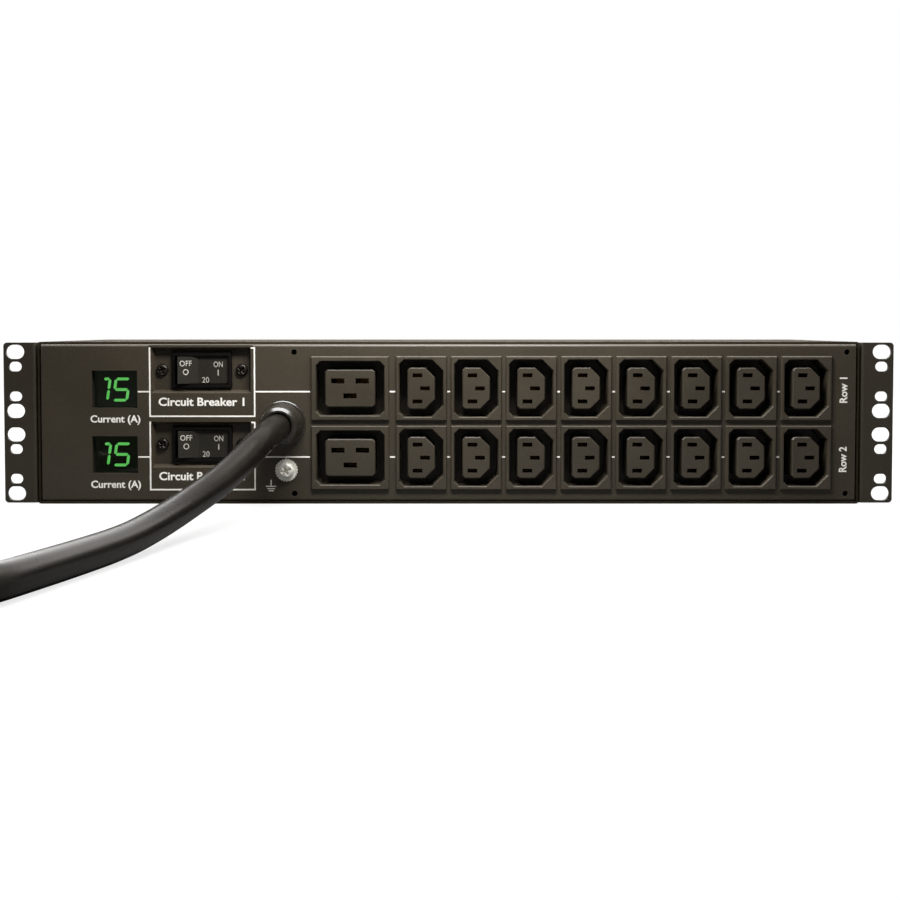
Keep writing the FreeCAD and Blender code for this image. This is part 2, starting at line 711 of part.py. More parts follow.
def make_bus(label, small_pole, large_pole, left, points):
    """A pair of bus bars, one for each row, with sprung leaves that reach into the outlets' chambers."""
    body = new_body(f"{label}_form")
    bar = front_sketch(body, "dims.outlet_depth")
    outline(bar, points)
    pad_back(body, bar, "dims.bus_sheet")
    small_x, small_z = small_pole
    large_x, large_z = large_pole
    leaves = front_sketch(body, "dims.outlet_depth")
    large_leaves = front_sketch(body, "dims.outlet_depth")
    for side in ("-", "+"):
        shift = f"{side} (dims.leaf_gap + dims.leaf_sheet) / 2"
        for sketch, x, z in ((leaves, f"{SMALL_X} + {small_x}", small_z),
                             (large_leaves, f"{LARGE_X} + {large_x}", large_z)):
            oblong(sketch, x, f"{z} {shift}", "dims.leaf_wide", "dims.leaf_sheet")
    pad_front(body, large_leaves, "dims.leaf_length")
    pair = pad_front(body, leaves, "dims.leaf_length")
    repeat(body, pair, "dims.small_pitch", SMALL_COUNT)
    bars = [place(copy_of(f"{label}_{bank}", body), z=z) for bank, z in enumerate(ROWS, start=1)]
    return group(label, bars)


# Bus bars: line, neutral and earth, each a pair of pressed strips
def make_buses():
    last = f"{SMALL_X} + ({SMALL_COUNT} - 1) * dims.small_pitch"
    half, leaf = "dims.bus_bar / 2", "dims.leaf_wide / 2 + dims.leaf_sheet"
    (line_x, line_z), (neutral_x, neutral_z), (earth_x, earth_z) = LARGE_POLES
    pole_z = "dims.small_pole_spread / 2"
    reach = "(dims.leaf_gap / 2 + 2 * dims.leaf_sheet)"
    right = f"{last} + dims.small_pole_x + {leaf}"
    left = f"{LARGE_X} + {line_x} - ({leaf})"
    make_bus("line_bus_bars", SMALL_POLES[0], LARGE_POLES[0], left,
             [(left, f"{line_z} - {reach}"), (f"{left} + 2 * ({leaf})", f"{line_z} - {reach}"),
              (f"{left} + 2 * ({leaf})", f"{pole_z} - {half}"), (right, f"{pole_z} - {half}"),
              (right, f"{pole_z} + {half}"), (left, f"{pole_z} + {half}")])
    left = f"{LARGE_X} + {neutral_x} - ({leaf})"
    make_bus("neutral_bus_bars", SMALL_POLES[1], LARGE_POLES[1], left,
             [(left, f"-({pole_z}) - {half}"), (right, f"-({pole_z}) - {half}"),
              (right, f"-({pole_z}) + {half}"),
              (f"{left} + 2 * ({leaf})", f"-({pole_z}) + {half}"),
              (f"{left} + 2 * ({leaf})", f"{neutral_z} + {reach}"), (left, f"{neutral_z} + {reach}")])
    left = f"{LARGE_X} + {earth_x} - ({leaf})"
    right = f"{last} + dims.small_earth_x + {leaf}"
    make_bus("earth_bus_bars", SMALL_POLES[2], LARGE_POLES[2], left,
             [(left, f"{earth_z} + 1 - {reach}"), (f"{left} + 2 * ({leaf})", f"{earth_z} + 1 - {reach}"),
              (f"{left} + 2 * ({leaf})", f"-{half}"), (right, f"-{half}"), (right, half), (left, half)])


# Meters: bezel, window and display of each, on one board held off the panel by spacers
def make_meters():
    bezel = new_body("meter_1_bezel")
    rim = front_sketch(bezel, "dims.sheet")
    oblong(rim, "0", "0", "dims.meter_rim_wide", "dims.meter_rim_tall")
    pad_back(bezel, rim, "dims.meter_wall")
    barrel = front_sketch(bezel, "dims.sheet")
    oblong(barrel, "0", "0", "dims.meter_window_wide + 2 * dims.meter_wall",
           "dims.meter_window_tall + 2 * dims.meter_wall")
    pad_back(bezel, barrel, "dims.meter_bezel_depth")
    window = front_sketch(bezel, "dims.sheet")
    oblong(window, "0", "0", "dims.meter_window_wide", "dims.meter_window_tall")
    cut_back(bezel, window, "dims.meter_bezel_depth")
    lens, display = new_body("meter_1_lens"), new_body("meter_1_display")
    fits = ((lens, "dims.lens_sunk", "dims.lens_sheet"),
            (display, "dims.lens_sunk + dims.lens_sheet", "dims.display_depth"))
    for body, depth, length in fits:
        face = front_sketch(body, depth)
        oblong(face, "0", "0", "dims.meter_window_wide - 2 * dims.meter_fit",
               "dims.meter_window_tall - 2 * dims.meter_fit")
        pad_back(body, face, length)
    for name, first in (("bezel", bezel), ("lens", lens), ("display", display)):
        second = copy_of(f"meter_2_{name}", first)
        for number, piece, z in ((1, first, METERS[0]), (2, second, METERS[1])):
            place(keep(f"meter_{number}_{name}", piece), METER_X, "0", z)
    board = new_body("meter_board")
    face = front_sketch(board, BOARD_FRONT)
    oblong(face, "0", "0", "dims.board_wide", BOARD_TALL)
    pad_back(board, face, "dims.board_sheet")
    place(keep("meter_board", board), METER_X, "0", METER_MIDDLE)
    spacers = []
    for side in ("-", "+"):
        for level in ("-", "+"):
            spacer = new_body("board_spacer")
            round_face = front_sketch(spacer, "dims.sheet")
            circle(round_face, "0", "0", "dims.spacer_diameter")
            pad_back(spacer, round_face, f"{BOARD_FRONT} - dims.sheet")
            spacers.append(place(spacer, f"{METER_X} {side} (dims.board_wide / 2 - dims.spacer_inset)", "0",
                                 f"{METER_MIDDLE} {level} ({BOARD_TALL} / 2 - dims.spacer_inset)"))
    group("board_spacers", spacers)


# Breakers: housing with a well, two lugs for the screws, and a rocker on moulded pivots
def make_breakers():
    body = new_body("breaker_1_body")
    block = front_sketch(body, BEZEL_FRONT)
    oblong(block, "0", "0", "dims.breaker_wide", "dims.breaker_tall")
    pad_back(body, block, "dims.breaker_depth")
    ease(body, "Chamfer", on_plane("y", BEZEL_FRONT), "dims.rim_chamfer")
    lugs = front_sketch(body, "dims.recess_depth + dims.sheet")
    oblong(lugs, "0", "0", "2 * dims.lug_reach", "dims.lug_tall")
    pad_back(body, lugs, "dims.lug_sheet")
    well = front_sketch(body, BEZEL_FRONT)
    oblong(well, "0", "0", "dims.well_wide", "dims.well_tall")
    cut_back(body, well, "dims.well_depth")
    holes = front_sketch(body, "dims.recess_depth + dims.sheet")
    for side in ("-", ""):
        circle(holes, f"{side}dims.breaker_screw_spread / 2", "0", "dims.breaker_screw_shank")
    cut_back(body, holes, "dims.lug_sheet")
    seat = new_sketch(body, "XY_Plane", "dims.pivot_seat / 2")
    circle(seat, "0", f"{BEZEL_FRONT} + dims.pivot_depth", "dims.pivot_diameter + 2 * dims.pivot_play")
    cut_back(body, seat, "dims.pivot_seat")
    rocker = new_body("breaker_1_rocker")
    pivot = f"{BEZEL_FRONT} + dims.pivot_depth"
    flat, keel = f"{BEZEL_FRONT} + dims.rocker_sunk", f"{pivot} + dims.rocker_keel"
    tip = f"{BEZEL_FRONT} - dims.rocker_off_proud"
    face = new_sketch(rocker, "XY_Plane", "-dims.rocker_tall / 2")
    on_end, off_end, keel_half = "dims.rocker_on_reach", "-dims.rocker_off_reach", "dims.rocker_keel_wide / 2"
    outline(face, [(on_end, flat), ("dims.rocker_valley_x", flat), (off_end, tip),
                   (off_end, f"{tip} + dims.rocker_skirt"), (f"-{keel_half}", keel), (keel_half, keel),
                   (on_end, f"{flat} + dims.rocker_skirt")])
    pad_front(rocker, face, "dims.rocker_tall")
    pins = new_sketch(rocker, "XY_Plane", "-dims.pivot_length / 2")
    circle(pins, "0", pivot, "dims.pivot_diameter")
    pad_front(rocker, pins, "dims.pivot_length")
    form = pan_head("breaker_screw_form", "breaker_screw_head", "screw_head_height", "breaker_screw_shank",
                    "breaker_screw_length")
    screws, terminals = [], []
    for number, z in enumerate(BREAKERS, start=1):
        for name, first in (("body", body), ("rocker", rocker)):
            label = f"breaker_{number}_{name}"
            piece = first if number == 1 else copy_of(label, first)
            place(keep(label, piece), BREAKER_X, "0", z)
        for side in ("-", "+"):
            screw = copy_of("breaker_screw_one", form)
            x = f"{BREAKER_X} {side} dims.breaker_screw_spread / 2"
            screws.append(place(screw, x, "dims.recess_depth", z))
            tab = doc.addObject("Part::Box", "terminal_tab")
            tab.setExpression("Length", "dims.terminal_wide")
            tab.setExpression("Width", "dims.terminal_length")
            tab.setExpression("Height", "dims.terminal_sheet")
            x = f"{BREAKER_X} {side} dims.terminal_spread / 2 - dims.terminal_wide / 2"
            terminals.append(place(tab, x, BREAKER_REAR, f"{z} - dims.terminal_sheet / 2"))
    group("breaker_screws", screws)
    group("breaker_terminals", terminals)


# Cord gland: body through the panel, tapered clamping nut in front and locknut behind
def make_gland():
    bore, thread = "dims.cord_diameter / 2", "dims.gland_thread / 2"
    spigot = "-dims.gland_flange_height - dims.gland_spigot_length"
    body = new_body("gland_body")
    turn = new_sketch(body, "XY_Plane")
    outline(turn, [(bore, spigot), ("dims.gland_spigot / 2", spigot),
                   ("dims.gland_spigot / 2", "-dims.gland_flange_height"),
                   ("dims.gland_flange / 2 - dims.rim_chamfer", "-dims.gland_flange_height"),
                   ("dims.gland_flange / 2", "-dims.gland_flange_height + dims.rim_chamfer"),
                   ("dims.gland_flange / 2", "0"), (thread, "0"), (thread, "dims.gland_thread_length"),
                   (bore, "dims.gland_thread_length")])
    revolve(body, turn)
    nut = new_body("gland_nut")
    turn = new_sketch(nut, "XY_Plane")
    front, shoulder = "-dims.gland_reach", "-dims.gland_flange_height - dims.gland_nut_grip"
    lip = f"{front} + dims.gland_lip_round"
    outline(turn, [(bore, spigot), (bore, front), ("dims.gland_lip / 2 - dims.gland_lip_round", front),
                   ("dims.gland_lip / 2", lip), ("dims.gland_nut / 2", shoulder),
                   ("dims.gland_nut / 2", "-dims.gland_flange_height"),
                   ("dims.gland_spigot / 2 + dims.gland_fit / 2", "-dims.gland_flange_height"),
                   ("dims.gland_spigot / 2 + dims.gland_fit / 2", spigot)])
    revolve(nut, turn)
    locknut = new_body("gland_locknut")
    hexagon(locknut, "dims.sheet", "dims.locknut_across", "dims.locknut_height",
            "dims.gland_thread + dims.gland_fit")
    for label, piece in (("gland_body", body), ("gland_nut", nut), ("gland_locknut", locknut)):
        place(keep(label, piece), GLAND_X, "0", "dims.gland_z")


def hexagon(body, depth, across, height, bore):
    """A hexagonal nut about its own Y."""
    flats = front_sketch(body, depth)
    corner = f"({across}) / 2 / cos(30)"
    outline(flats, [(f"{corner} * cos({60 * step})", f"{corner} * sin({60 * step})") for step in range(6)])
    circle(flats, "0", "0", bore)
    pad_back(body, flats, height)


# Earth point: screw, toothed washer and nut
def make_earth_point():
    washer = new_body("ground_washer")
    star = front_sketch(washer)
    teeth = int(value("dims.star_teeth"))
    points = []
    for tooth in range(teeth):
        for part, radius in ((0, "outer"), (0.4, "outer"), (0.55, "inner"), (0.85, "inner")):
            angle = round(360 * (tooth + part) / teeth, 3)
            reach = f"dims.star_{radius} / 2"
            points.append((f"{reach} * cos({angle})", f"{reach} * sin({angle})"))
    outline(star, points)
    circle(star, "0", "0", "dims.earth_hole")
    pad_front(washer, star, "dims.star_sheet")
    screw = pan_head("ground_screw", "earth_head", "earth_head_height", "earth_shank", "earth_length")
    nut = new_body("ground_nut")
    hexagon(nut, "dims.sheet", "dims.earth_nut_across", "dims.earth_nut_height",
            "dims.earth_shank + dims.gland_fit")
    depths = (("ground_washer", washer, "0"), ("ground_screw", screw, "-dims.star_sheet"),
              ("ground_nut", nut, "0"))
    for label, piece, y in depths:
        place(keep(label, piece), EARTH_X, y, "dims.earth_z")


# Terminal block on the floor of the pan, with ribs between its poles
def make_terminal_block():
    body = new_body("terminal_block")
    foot = new_sketch(body, "XY_Plane", "dims.sheet")
    oblong(foot, BLOCK_X, "dims.block_y", "dims.block_wide", "dims.block_deep")
    pad_front(body, foot, "dims.block_tall")
    rib = new_sketch(body, "XY_Plane", "dims.sheet + dims.block_tall")
    oblong(rib, f"{BLOCK_X} - dims.block_wide / 2 + dims.block_rib / 2", "dims.block_y", "dims.block_rib",
           "dims.block_deep")
    first = pad_front(body, rib, "dims.block_rib_rise")
    repeat(body, first, "(dims.block_wide - dims.block_rib) / dims.block_poles", "dims.block_poles + 1")
    return place(keep("terminal_block", body))


# Current sensors: potted rings that the load wires run through
def make_current_sensors():
    for number, y in enumerate(SENSORS_Y, start=1):
        body = new_body(f"current_sensor_{number}")
        side = new_sketch(body, "YZ_Plane", f"{SENSOR_X} - dims.sensor_wide / 2")
        middle = "dims.sheet + dims.sensor_tall / 2"
        oblong(side, y, middle, "dims.sensor_deep", "dims.sensor_tall")
        circle(side, y, middle, "dims.sensor_hole")
        pad_front(body, side, "dims.sensor_wide")
        place(keep(f"current_sensor_{number}", body))


def tube(points, diameter):
    """A round tube along straight runs joined by tangent arcs, and the radii of those arcs.

    Each arc is as large as its two runs allow: 0.45 of the shorter run over the tangent of half the turn.
    """
    corners = [Vector(*point) for point in points]
    edges, radii, start = [], [], corners[0]
    for before, corner, after in zip(corners, corners[1:], corners[2:]):
        back, ahead = before - corner, after - corner
        shorter = 0.45 * min(back.Length, ahead.Length)
        turn = math.pi - back.getAngle(ahead)
        back.normalize()
        ahead.normalize()
        enter, leave = corner + back * shorter, corner + ahead * shorter
        radius = shorter / math.tan(turn / 2)
        inward = (back + ahead).normalize()
        middle = corner + inward * (radius / math.cos(turn / 2) - radius)
        edges += [Part.LineSegment(start, enter).toShape(), Part.Arc(enter, middle, leave).toShape()]
        radii.append(radius)
        start = leave
    edges.append(Part.LineSegment(start, corners[-1]).toShape())
    path = Part.Wire(edges)
    ring = Part.Circle(corners[0], corners[1] - corners[0], diameter / 2).toShape()
    return path.makePipeShell([Part.Wire([ring])], True, False), radii, path.Length


# Wires inside: the supply runs to the terminal block, each line on through a breaker and a sensor to its bus
def make_wires():
    size = value("dims.wire_diameter")
    tab_end = value(f"{BREAKER_REAR} + dims.terminal_length")
    bus_end, floor = value(BUS_REAR), value("dims.sheet")
    breaker_x, tab_shift = value(BREAKER_X), value("dims.terminal_spread / 2")
    large_x, leg = value(LARGE_X), value("dims.large_pole_spread / 2")
    pole_z = value("dims.small_pole_spread / 2")
    block_x, block_y = value(BLOCK_X), value("dims.block_y")
    block_top = floor + value("dims.block_tall")
    block_step = value("(dims.block_wide - dims.block_rib) / dims.block_poles")
    sensor_x, sensor_z = value(SENSOR_X), floor + value("dims.sensor_tall / 2")
    cord_x, cord_end, cord_z = value(GLAND_X), value("dims.cord_inside"), value("dims.gland_z")
    earth_x, earth_z = value(EARTH_X), value("dims.earth_z")
    bend, step_down = value("dims.wire_bend"), value("dims.wire_step")
    spread, drop, lift = value("dims.core_spread"), value("dims.core_drop"), value("dims.core_lift")

    def from_cord(shift_x, shift_z, pole):
        """From the cut end of the lead, through the gland, back to a pole of the terminal block."""
        x, z, y = cord_x + shift_x, cord_z + shift_z, block_y - bend / 2
        return [(x, cord_end, z), (x, cord_end + 2 * bend, z), (pole, y - bend, block_top + 1.2 * bend),
                (pole, y, block_top + 0.8 * bend), (pole, y, block_top)]

    def to_bus(pole, bank, x, z):
        """From a pole of the terminal block, forward to the back of a bus bar."""
        y, high = block_y + bend / 2 * bank, block_top + bend
        return [(pole, y, block_top), (pole, y, high), (x, block_y - 2 * bend, (high + z) / 2 + lift),
                (x, bus_end + bend, z), (x, bus_end, z)]

    line_pole, neutral_pole, earth_pole = (block_x + step * block_step for step in (-1, 0, 1))
    line = [from_cord(-spread, 0, line_pole)]
    neutral = [from_cord(spread, lift, neutral_pole)]
    earth = [[(cord_x, cord_end, cord_z - drop), (cord_x, cord_end + 1.6 * bend, cord_z - drop),
              (earth_x, cord_end + 1.8 * bend, earth_z),
              (earth_x, value("dims.earth_length - dims.star_sheet"), earth_z)]]
    for bank in range(2):
        row, high = value(ROWS[bank]), value(BREAKERS[bank])
        rear = value(SENSORS_Y[bank])
        right = block_x + value("dims.block_wide / 2") + size * (2 + 1.5 * bank)
        feed, load = breaker_x - tab_shift, breaker_x + tab_shift
        y = block_y + bend / 2 * bank
        line.append([(feed, tab_end, high), (feed, tab_end + bend, high), (feed + bend, y, high - bend / 2),
                     (line_pole - bend, y, block_top + 1.6 * bend - step_down * bank),
                     (line_pole, y, block_top + bend), (line_pole, y, block_top)])
        line.append([(load, tab_end, high), (load, tab_end + bend, high),
                     (load, rear - bend / 2, high - bend / 2),
                     (load + lift, rear, sensor_z + bend / 2), (sensor_x - bend, rear, sensor_z),
                     (right - 2 * bend, rear, sensor_z), (right, rear - bend, block_top + bend / 2),
                     (right, block_y - bend, (block_top + row) / 2 + pole_z),
                     (large_x + leg, bus_end + bend, row + pole_z),
                     (large_x + leg, bus_end, row + pole_z)])
        neutral.append(to_bus(neutral_pole, bank, large_x - leg, row - pole_z))
        earth.append(to_bus(earth_pole, bank, large_x + value("dims.leaf_wide / 2"), row))
    for label, routes in (("line_wires", line), ("neutral_wires", neutral), ("earth_wires", earth)):
        wires = doc.addObject("Part::Feature", label)
        wires.Shape = Part.makeCompound([tube(route, size)[0] for route in routes])
        place(keep(label, wires))


# Lead: chosen points of the stretch from the gland to the coil, and from the coil to the plug
LEAD = ((-88.5, -44.0, 43.5), (-104.0, -84.0, 24.6), (-117.0, -117.0, 15.2), (-125.0, -146.0, 10.4),
        (-132.0, -173.0, 7.6), (-141.0, -204.0, 7.0), (-150.0, -237.0, 7.1), (-157.0, -262.0, 7.3),
        (-173.8, -286.9, 7.6), (-197.8, -304.9, 7.9), (-226.2, -313.8, 8.1), (-255.0, -314.4, 8.2),
        (-284.0, -313.0, 8.2))
TAIL = ((-376.0, -215.0, 21.0), (-376.6, -187.0, 21.4), (-378.6, -160.0, 23.8), (-380.0, -132.0, 26.0),
        (-380.0, -104.0, 26.0))


def make_lead():
    size = value("dims.cord_diameter")
    inside = (value(GLAND_X), value("dims.cord_inside"), value("dims.gland_z"))
    for label, points in (("power_cord", (inside,) + LEAD), ("cord_tail", TAIL)):
        solid, radii, length = tube(points, size)
        section = math.pi * size ** 2 / 4
        print(label, "length", round(length), "radii", [round(radius) for radius in radii],
              "volume over section times length", round(solid.Volume / section / length, 4))
        cord = doc.addObject("Part::Feature", label)
        cord.Shape = solid
        place(keep(label, cord))


def coil_section(grow):
    """Half section of the coil, or of a band that far outside it: flat foot, sloping sides and a crown."""
    low, high = f"dims.tie_sheet - {grow}", f"dims.tie_sheet + dims.coil_tall + {grow}"
    edge_low, edge_high = "dims.tie_sheet + dims.coil_edge", "dims.tie_sheet + dims.coil_edge * 2"
    inner, outer = f"dims.coil_inner - {grow}", f"dims.coil_outer + {grow}"
    return [(f"{inner} + dims.coil_edge", low), (f"{outer} - dims.coil_edge", low), (outer, edge_low),
            (outer, edge_high), (f"{outer} - dims.coil_crown", high), (f"{inner} + dims.coil_crown", high),
            (inner, edge_high), (inner, edge_low)]


# Coil of the unseen length, its tie, and the plug beside it
def make_coil_and_plug():
    coil = new_body("cord_coil")
    half = new_sketch(coil, "XZ_Plane")
    outline(half, coil_section("0"))
    revolve(coil, half)
    tie = new_body("cord_tie")
    band = new_sketch(tie, "XZ_Plane")
    outline(band, coil_section("dims.tie_sheet"))
    outline(band, coil_section("0"))
    loop = revolve(tie, band)
    loop.setExpression("Angle", "dims.tie_wide / dims.coil_outer * 180 / pi")
    for label, piece in (("cord_coil", coil), ("cord_tie", tie)):
        place(keep(label, piece), "dims.coil_x", "-dims.coil_front")
    plug = new_body("plug_body")
    turn = new_sketch(plug, "XY_Plane")
    neck, rim = "dims.plug_neck / 2", "dims.plug_diameter / 2"
    outline(turn, [("0", "0"), (f"{neck} - dims.plug_neck_taper", "0"), (neck, "dims.plug_neck_length"),
                   (f"{rim} - dims.plug_shoulder", "dims.plug_neck_length"),
                   (rim, "dims.plug_neck_length + dims.plug_shoulder"),
                   (rim, "dims.plug_length - dims.plug_lip"),
                   (f"{rim} - dims.plug_lip", "dims.plug_length"), ("0", "dims.plug_length")])
    revolve(plug, turn)
    x, y, z = (str(number) for number in TAIL[-1])
    place(keep("plug_body", plug), x, y, "dims.plug_diameter / 2")
    form = new_body("plug_blade_form")
    section = new_sketch(form, "XY_Plane")
    oblong(section, "dims.blade_circle / 2", "dims.plug_length + dims.blade_length / 2", "dims.blade_sheet",
           "dims.blade_length")
    revolve(form, section).setExpression("Angle", "dims.blade_wide / dims.blade_circle * 360 / pi")
    blades = []
    for turn in (90, 210, 330):
        blade = copy_of("plug_blade_one", form)
        blade.Placement = FreeCAD.Placement(Vector(), FreeCAD.Rotation(Vector(0, 1, 0), turn))
        blades.append(place(blade, x, y, "dims.plug_diameter / 2"))
    group("plug_blades", blades)


def check_and_write():
    """Stops on any failed object or bad solid, then writes one file for each node."""
    doc.recompute()
    for item in doc.Objects:
        if "Invalid" in item.State or "Error" in item.State:
            raise RuntimeError(f"{item.Label} failed: {item.State}")
    for label, piece in nodes.items():
        if piece.Shape.isNull() or not piece.Shape.isValid():
            raise RuntimeError(f"{label} has no valid shape")
    os.makedirs("parts", exist_ok=True)
    for label, piece in nodes.items():
        piece.Shape.exportStep(os.path.join("parts", f"{label}.step"))
    print(len(nodes), "pieces written")


make_front_panel()
make_base_pan()
make_top_cover()
ear_holes, cover_holes = side_screw_places()
half_wide = f"{SIDE_OUT} - 3 * dims.sheet"
for start in (half_wide, f"-({half_wide}) - 4 * dims.sheet"):
    drill_sides(nodes["top_cover"], ear_holes, SIDE_LEVELS, "4 * dims.sheet", start)
    drill_sides(nodes["top_cover"], cover_holes, SIDE_LEVELS[:1], "4 * dims.sheet", start)
    drill_sides(nodes["base_pan"], ear_holes + cover_holes, SIDE_LEVELS[:1], "4 * dims.sheet", start)
make_rack_ears()
make_side_screws()
make_outlets()
make_buses()
make_meters()
make_breakers()
make_gland()
make_earth_point()
make_terminal_block()
make_current_sensors()
make_wires()
make_lead()
make_coil_and_plug()
check_and_write()
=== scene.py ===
"""Looks of a rack power distribution unit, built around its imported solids.

Lengths in this script are millimetres in the frame of the solids: X right along the front panel, Y from
front to back, Z up. The function metres() turns them into Blender's metres.
"""
import json
import math

import bpy
import numpy as np
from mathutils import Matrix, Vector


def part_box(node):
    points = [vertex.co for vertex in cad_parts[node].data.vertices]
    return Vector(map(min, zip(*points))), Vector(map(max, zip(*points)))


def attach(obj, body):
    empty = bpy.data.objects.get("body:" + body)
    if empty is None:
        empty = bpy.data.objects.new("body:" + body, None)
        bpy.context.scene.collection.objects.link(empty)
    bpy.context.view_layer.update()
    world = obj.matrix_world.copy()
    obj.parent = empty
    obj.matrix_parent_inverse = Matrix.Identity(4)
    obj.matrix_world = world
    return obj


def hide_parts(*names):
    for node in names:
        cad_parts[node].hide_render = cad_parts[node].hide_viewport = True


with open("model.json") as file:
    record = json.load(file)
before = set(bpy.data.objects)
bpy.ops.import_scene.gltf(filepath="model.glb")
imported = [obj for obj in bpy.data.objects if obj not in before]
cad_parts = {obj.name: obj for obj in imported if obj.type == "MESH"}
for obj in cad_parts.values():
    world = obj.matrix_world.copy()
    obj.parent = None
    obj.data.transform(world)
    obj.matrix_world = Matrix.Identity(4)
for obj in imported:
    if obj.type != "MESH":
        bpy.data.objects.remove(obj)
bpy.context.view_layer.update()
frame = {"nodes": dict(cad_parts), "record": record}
MM = 0.001
UNIT = "unit"


def metres(*lengths):
    return tuple(length * MM for length in lengths)


def node_box(name):
    """Lowest and highest corner of a node, in millimetres."""
    low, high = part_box(name)
    return np.array(low) / MM, np.array(high) / MM


def node_middle(name):
    low, high = node_box(name)
    return (low + high) / 2


FACE = node_box("front_panel")[0][1]


# Colour and nodes

def linear(code, alpha=1.0):
    """Linear colour of an sRGB hex value, by the standard's own curve."""
    parts = [int(code[start:start + 2], 16) / 255 for start in (1, 3, 5)]
    return tuple(c / 12.92 if c <= 0.04045 else ((c + 0.055) / 1.055) ** 2.4 for c in parts) + (alpha,)


def add(tree, kind, links=None, **settings):
    """Adds a node. Settings are its properties; links gives each input a value or another node's output."""
    node = tree.nodes.new(kind)
    for name, value in settings.items():
        setattr(node, name, value)
    for socket, value in (links or {}).items():
        if isinstance(value, bpy.types.NodeSocket):
            tree.links.new(value, node.inputs[socket])
        else:
            node.inputs[socket].default_value = value
    return node


def new_material(name, **inputs):
    """A material with one Principled shader, and its tree and that shader."""
    material = bpy.data.materials.new(name)
    material.use_nodes = True
    tree = material.node_tree
    shader = tree.nodes["Principled BSDF"]
    for socket, value in inputs.items():
        shader.inputs[socket.replace("_", " ")].default_value = value
    return material, tree, shader


def per_metre(size_mm):
    """Texture scale at which one cell of a pattern is size_mm across."""
    return 1 / (size_mm * MM)


TONE_FROM, TONE_TO = 0.75, 1.25
PATCH_FROM, PATCH_TO = 0.3, 0.7
GLOSS_SPREAD = 0.1


def grained(name, dark, light, grain_mm, grain_depth_mm, patch_mm, roughness, **inputs):
    """A surface with a fine grain in its relief and slow patches of tone and gloss.

    The tone runs from dark to light with the sum of a broad noise and a fine one. The relief is the fine
    noise, of the grain's size. Roughness varies by a tenth with the broad noise, as handled and dusty paint
    or plastic does.
    """
    material, tree, shader = new_material(name, **inputs)
    place = add(tree, "ShaderNodeTexCoord").outputs["Object"]
    patch = add(tree, "ShaderNodeTexNoise", {"Vector": place, "Scale": per_metre(patch_mm), "Detail": 4.0})
    grain = add(tree, "ShaderNodeTexNoise", {"Vector": place, "Scale": per_metre(grain_mm), "Detail": 2.0})
    blend = add(tree, "ShaderNodeMath", {0: patch.outputs["Fac"], 1: grain.outputs["Fac"]}, operation="ADD")
    tone = add(tree, "ShaderNodeMapRange", {"Value": blend.outputs[0], "From Min": TONE_FROM,
                                            "From Max": TONE_TO})
    colour = add(tree, "ShaderNodeMix", {"Factor": tone.outputs[0], 6: linear(dark), 7: linear(light)},
                 data_type="RGBA")
    gloss = add(tree, "ShaderNodeMapRange", {"Value": patch.outputs["Fac"], "From Min": PATCH_FROM,
                                             "From Max": PATCH_TO, "To Min": roughness * (1 - GLOSS_SPREAD),
                                             "To Max": roughness * (1 + GLOSS_SPREAD)})
    relief = add(tree, "ShaderNodeBump", {"Height": grain.outputs["Fac"], "Strength": 1.0,
                                          "Distance": grain_depth_mm * MM})
    tree.links.new(colour.outputs[2], shader.inputs["Base Color"])
    tree.links.new(gloss.outputs[0], shader.inputs["Roughness"])
    tree.links.new(relief.outputs[0], shader.inputs["Normal"])
    return material


# Materials

def powder_coat(name, dark, light, roughness=0.48, specular=0.42):
    """Epoxy powder coat on folded steel: satin, or dull on the case, with an orange peel drawn at 1.2 mm."""
    return grained(name, dark, light, grain_mm=1.2, grain_depth_mm=0.012, patch_mm=55, roughness=roughness,
                   Specular_IOR_Level=specular)


def moulded_plastic(name, dark, light, roughness, specular=0.35):
    """Injection-moulded nylon or polycarbonate: fine spark texture, drawn at 0.8 mm so that it shows."""
    return grained(name, dark, light, grain_mm=0.8, grain_depth_mm=0.006, patch_mm=25, roughness=roughness,
                   Specular_IOR_Level=specular)


def plated_metal(name, dark, light, roughness, grain_depth_mm=0.004, metallic=1.0):
    """Rolled or plated metal with slight staining. Zinc flake in its binder is half as metallic and flaky."""
    return grained(name, dark, light, grain_mm=0.5, grain_depth_mm=grain_depth_mm, patch_mm=6,
                   roughness=roughness, Metallic=metallic)


def rubber_jacket():
    """Extruded rubber cord jacket: dark and satin, its uneven skin drawn at 2.5 mm so that it shows."""
    return grained("extruded_cord_jacket", "#0c0b09", "#14120f", grain_mm=2.5, grain_depth_mm=0.02,
                   patch_mm=30, roughness=0.28, Specular_IOR_Level=0.23, Specular_Tint=linear("#fff0dc"))


def woven_strap():
    """Woven nylon strap: matte, with a roughness of the threads' size drawn at 1 mm so that it shows."""
    return grained("woven_strap", "#191917", "#2c2b28", grain_mm=1.0, grain_depth_mm=0.1, patch_mm=12,
                   roughness=0.8)


def printed_ink(name, dark, light):
    """Printed epoxy ink: matte, slightly uneven where the weave of the screen or the pad thins it."""
    return grained(name, dark, light, grain_mm=0.6, grain_depth_mm=0.002, patch_mm=9, roughness=0.6, IOR=1.5)


def smoked_window():
    """Smoked acrylic: clear with a green-grey tint, polished."""
    return new_material("smoked_acrylic", Base_Color=linear("#7d8a7a"), Roughness=0.04, IOR=1.49,
                        Transmission_Weight=1.0)[0]


def display_diffuser_painted_glow():
    """Moulded diffuser of a display: dark grey, with a faint painted glow that stands in for the lamp light
    the smoked window keeps from it.
    """
    # Painted light: the faint emission lights the diffuser in place of the lamps, whose light does not reach
    # it through the smoked window.
    return grained("display_diffuser_painted_glow", "#20251c", "#282e23", grain_mm=0.8, grain_depth_mm=0.006, patch_mm=25,
                   roughness=0.5, Emission_Color=linear("#242720"), Emission_Strength=1.0)


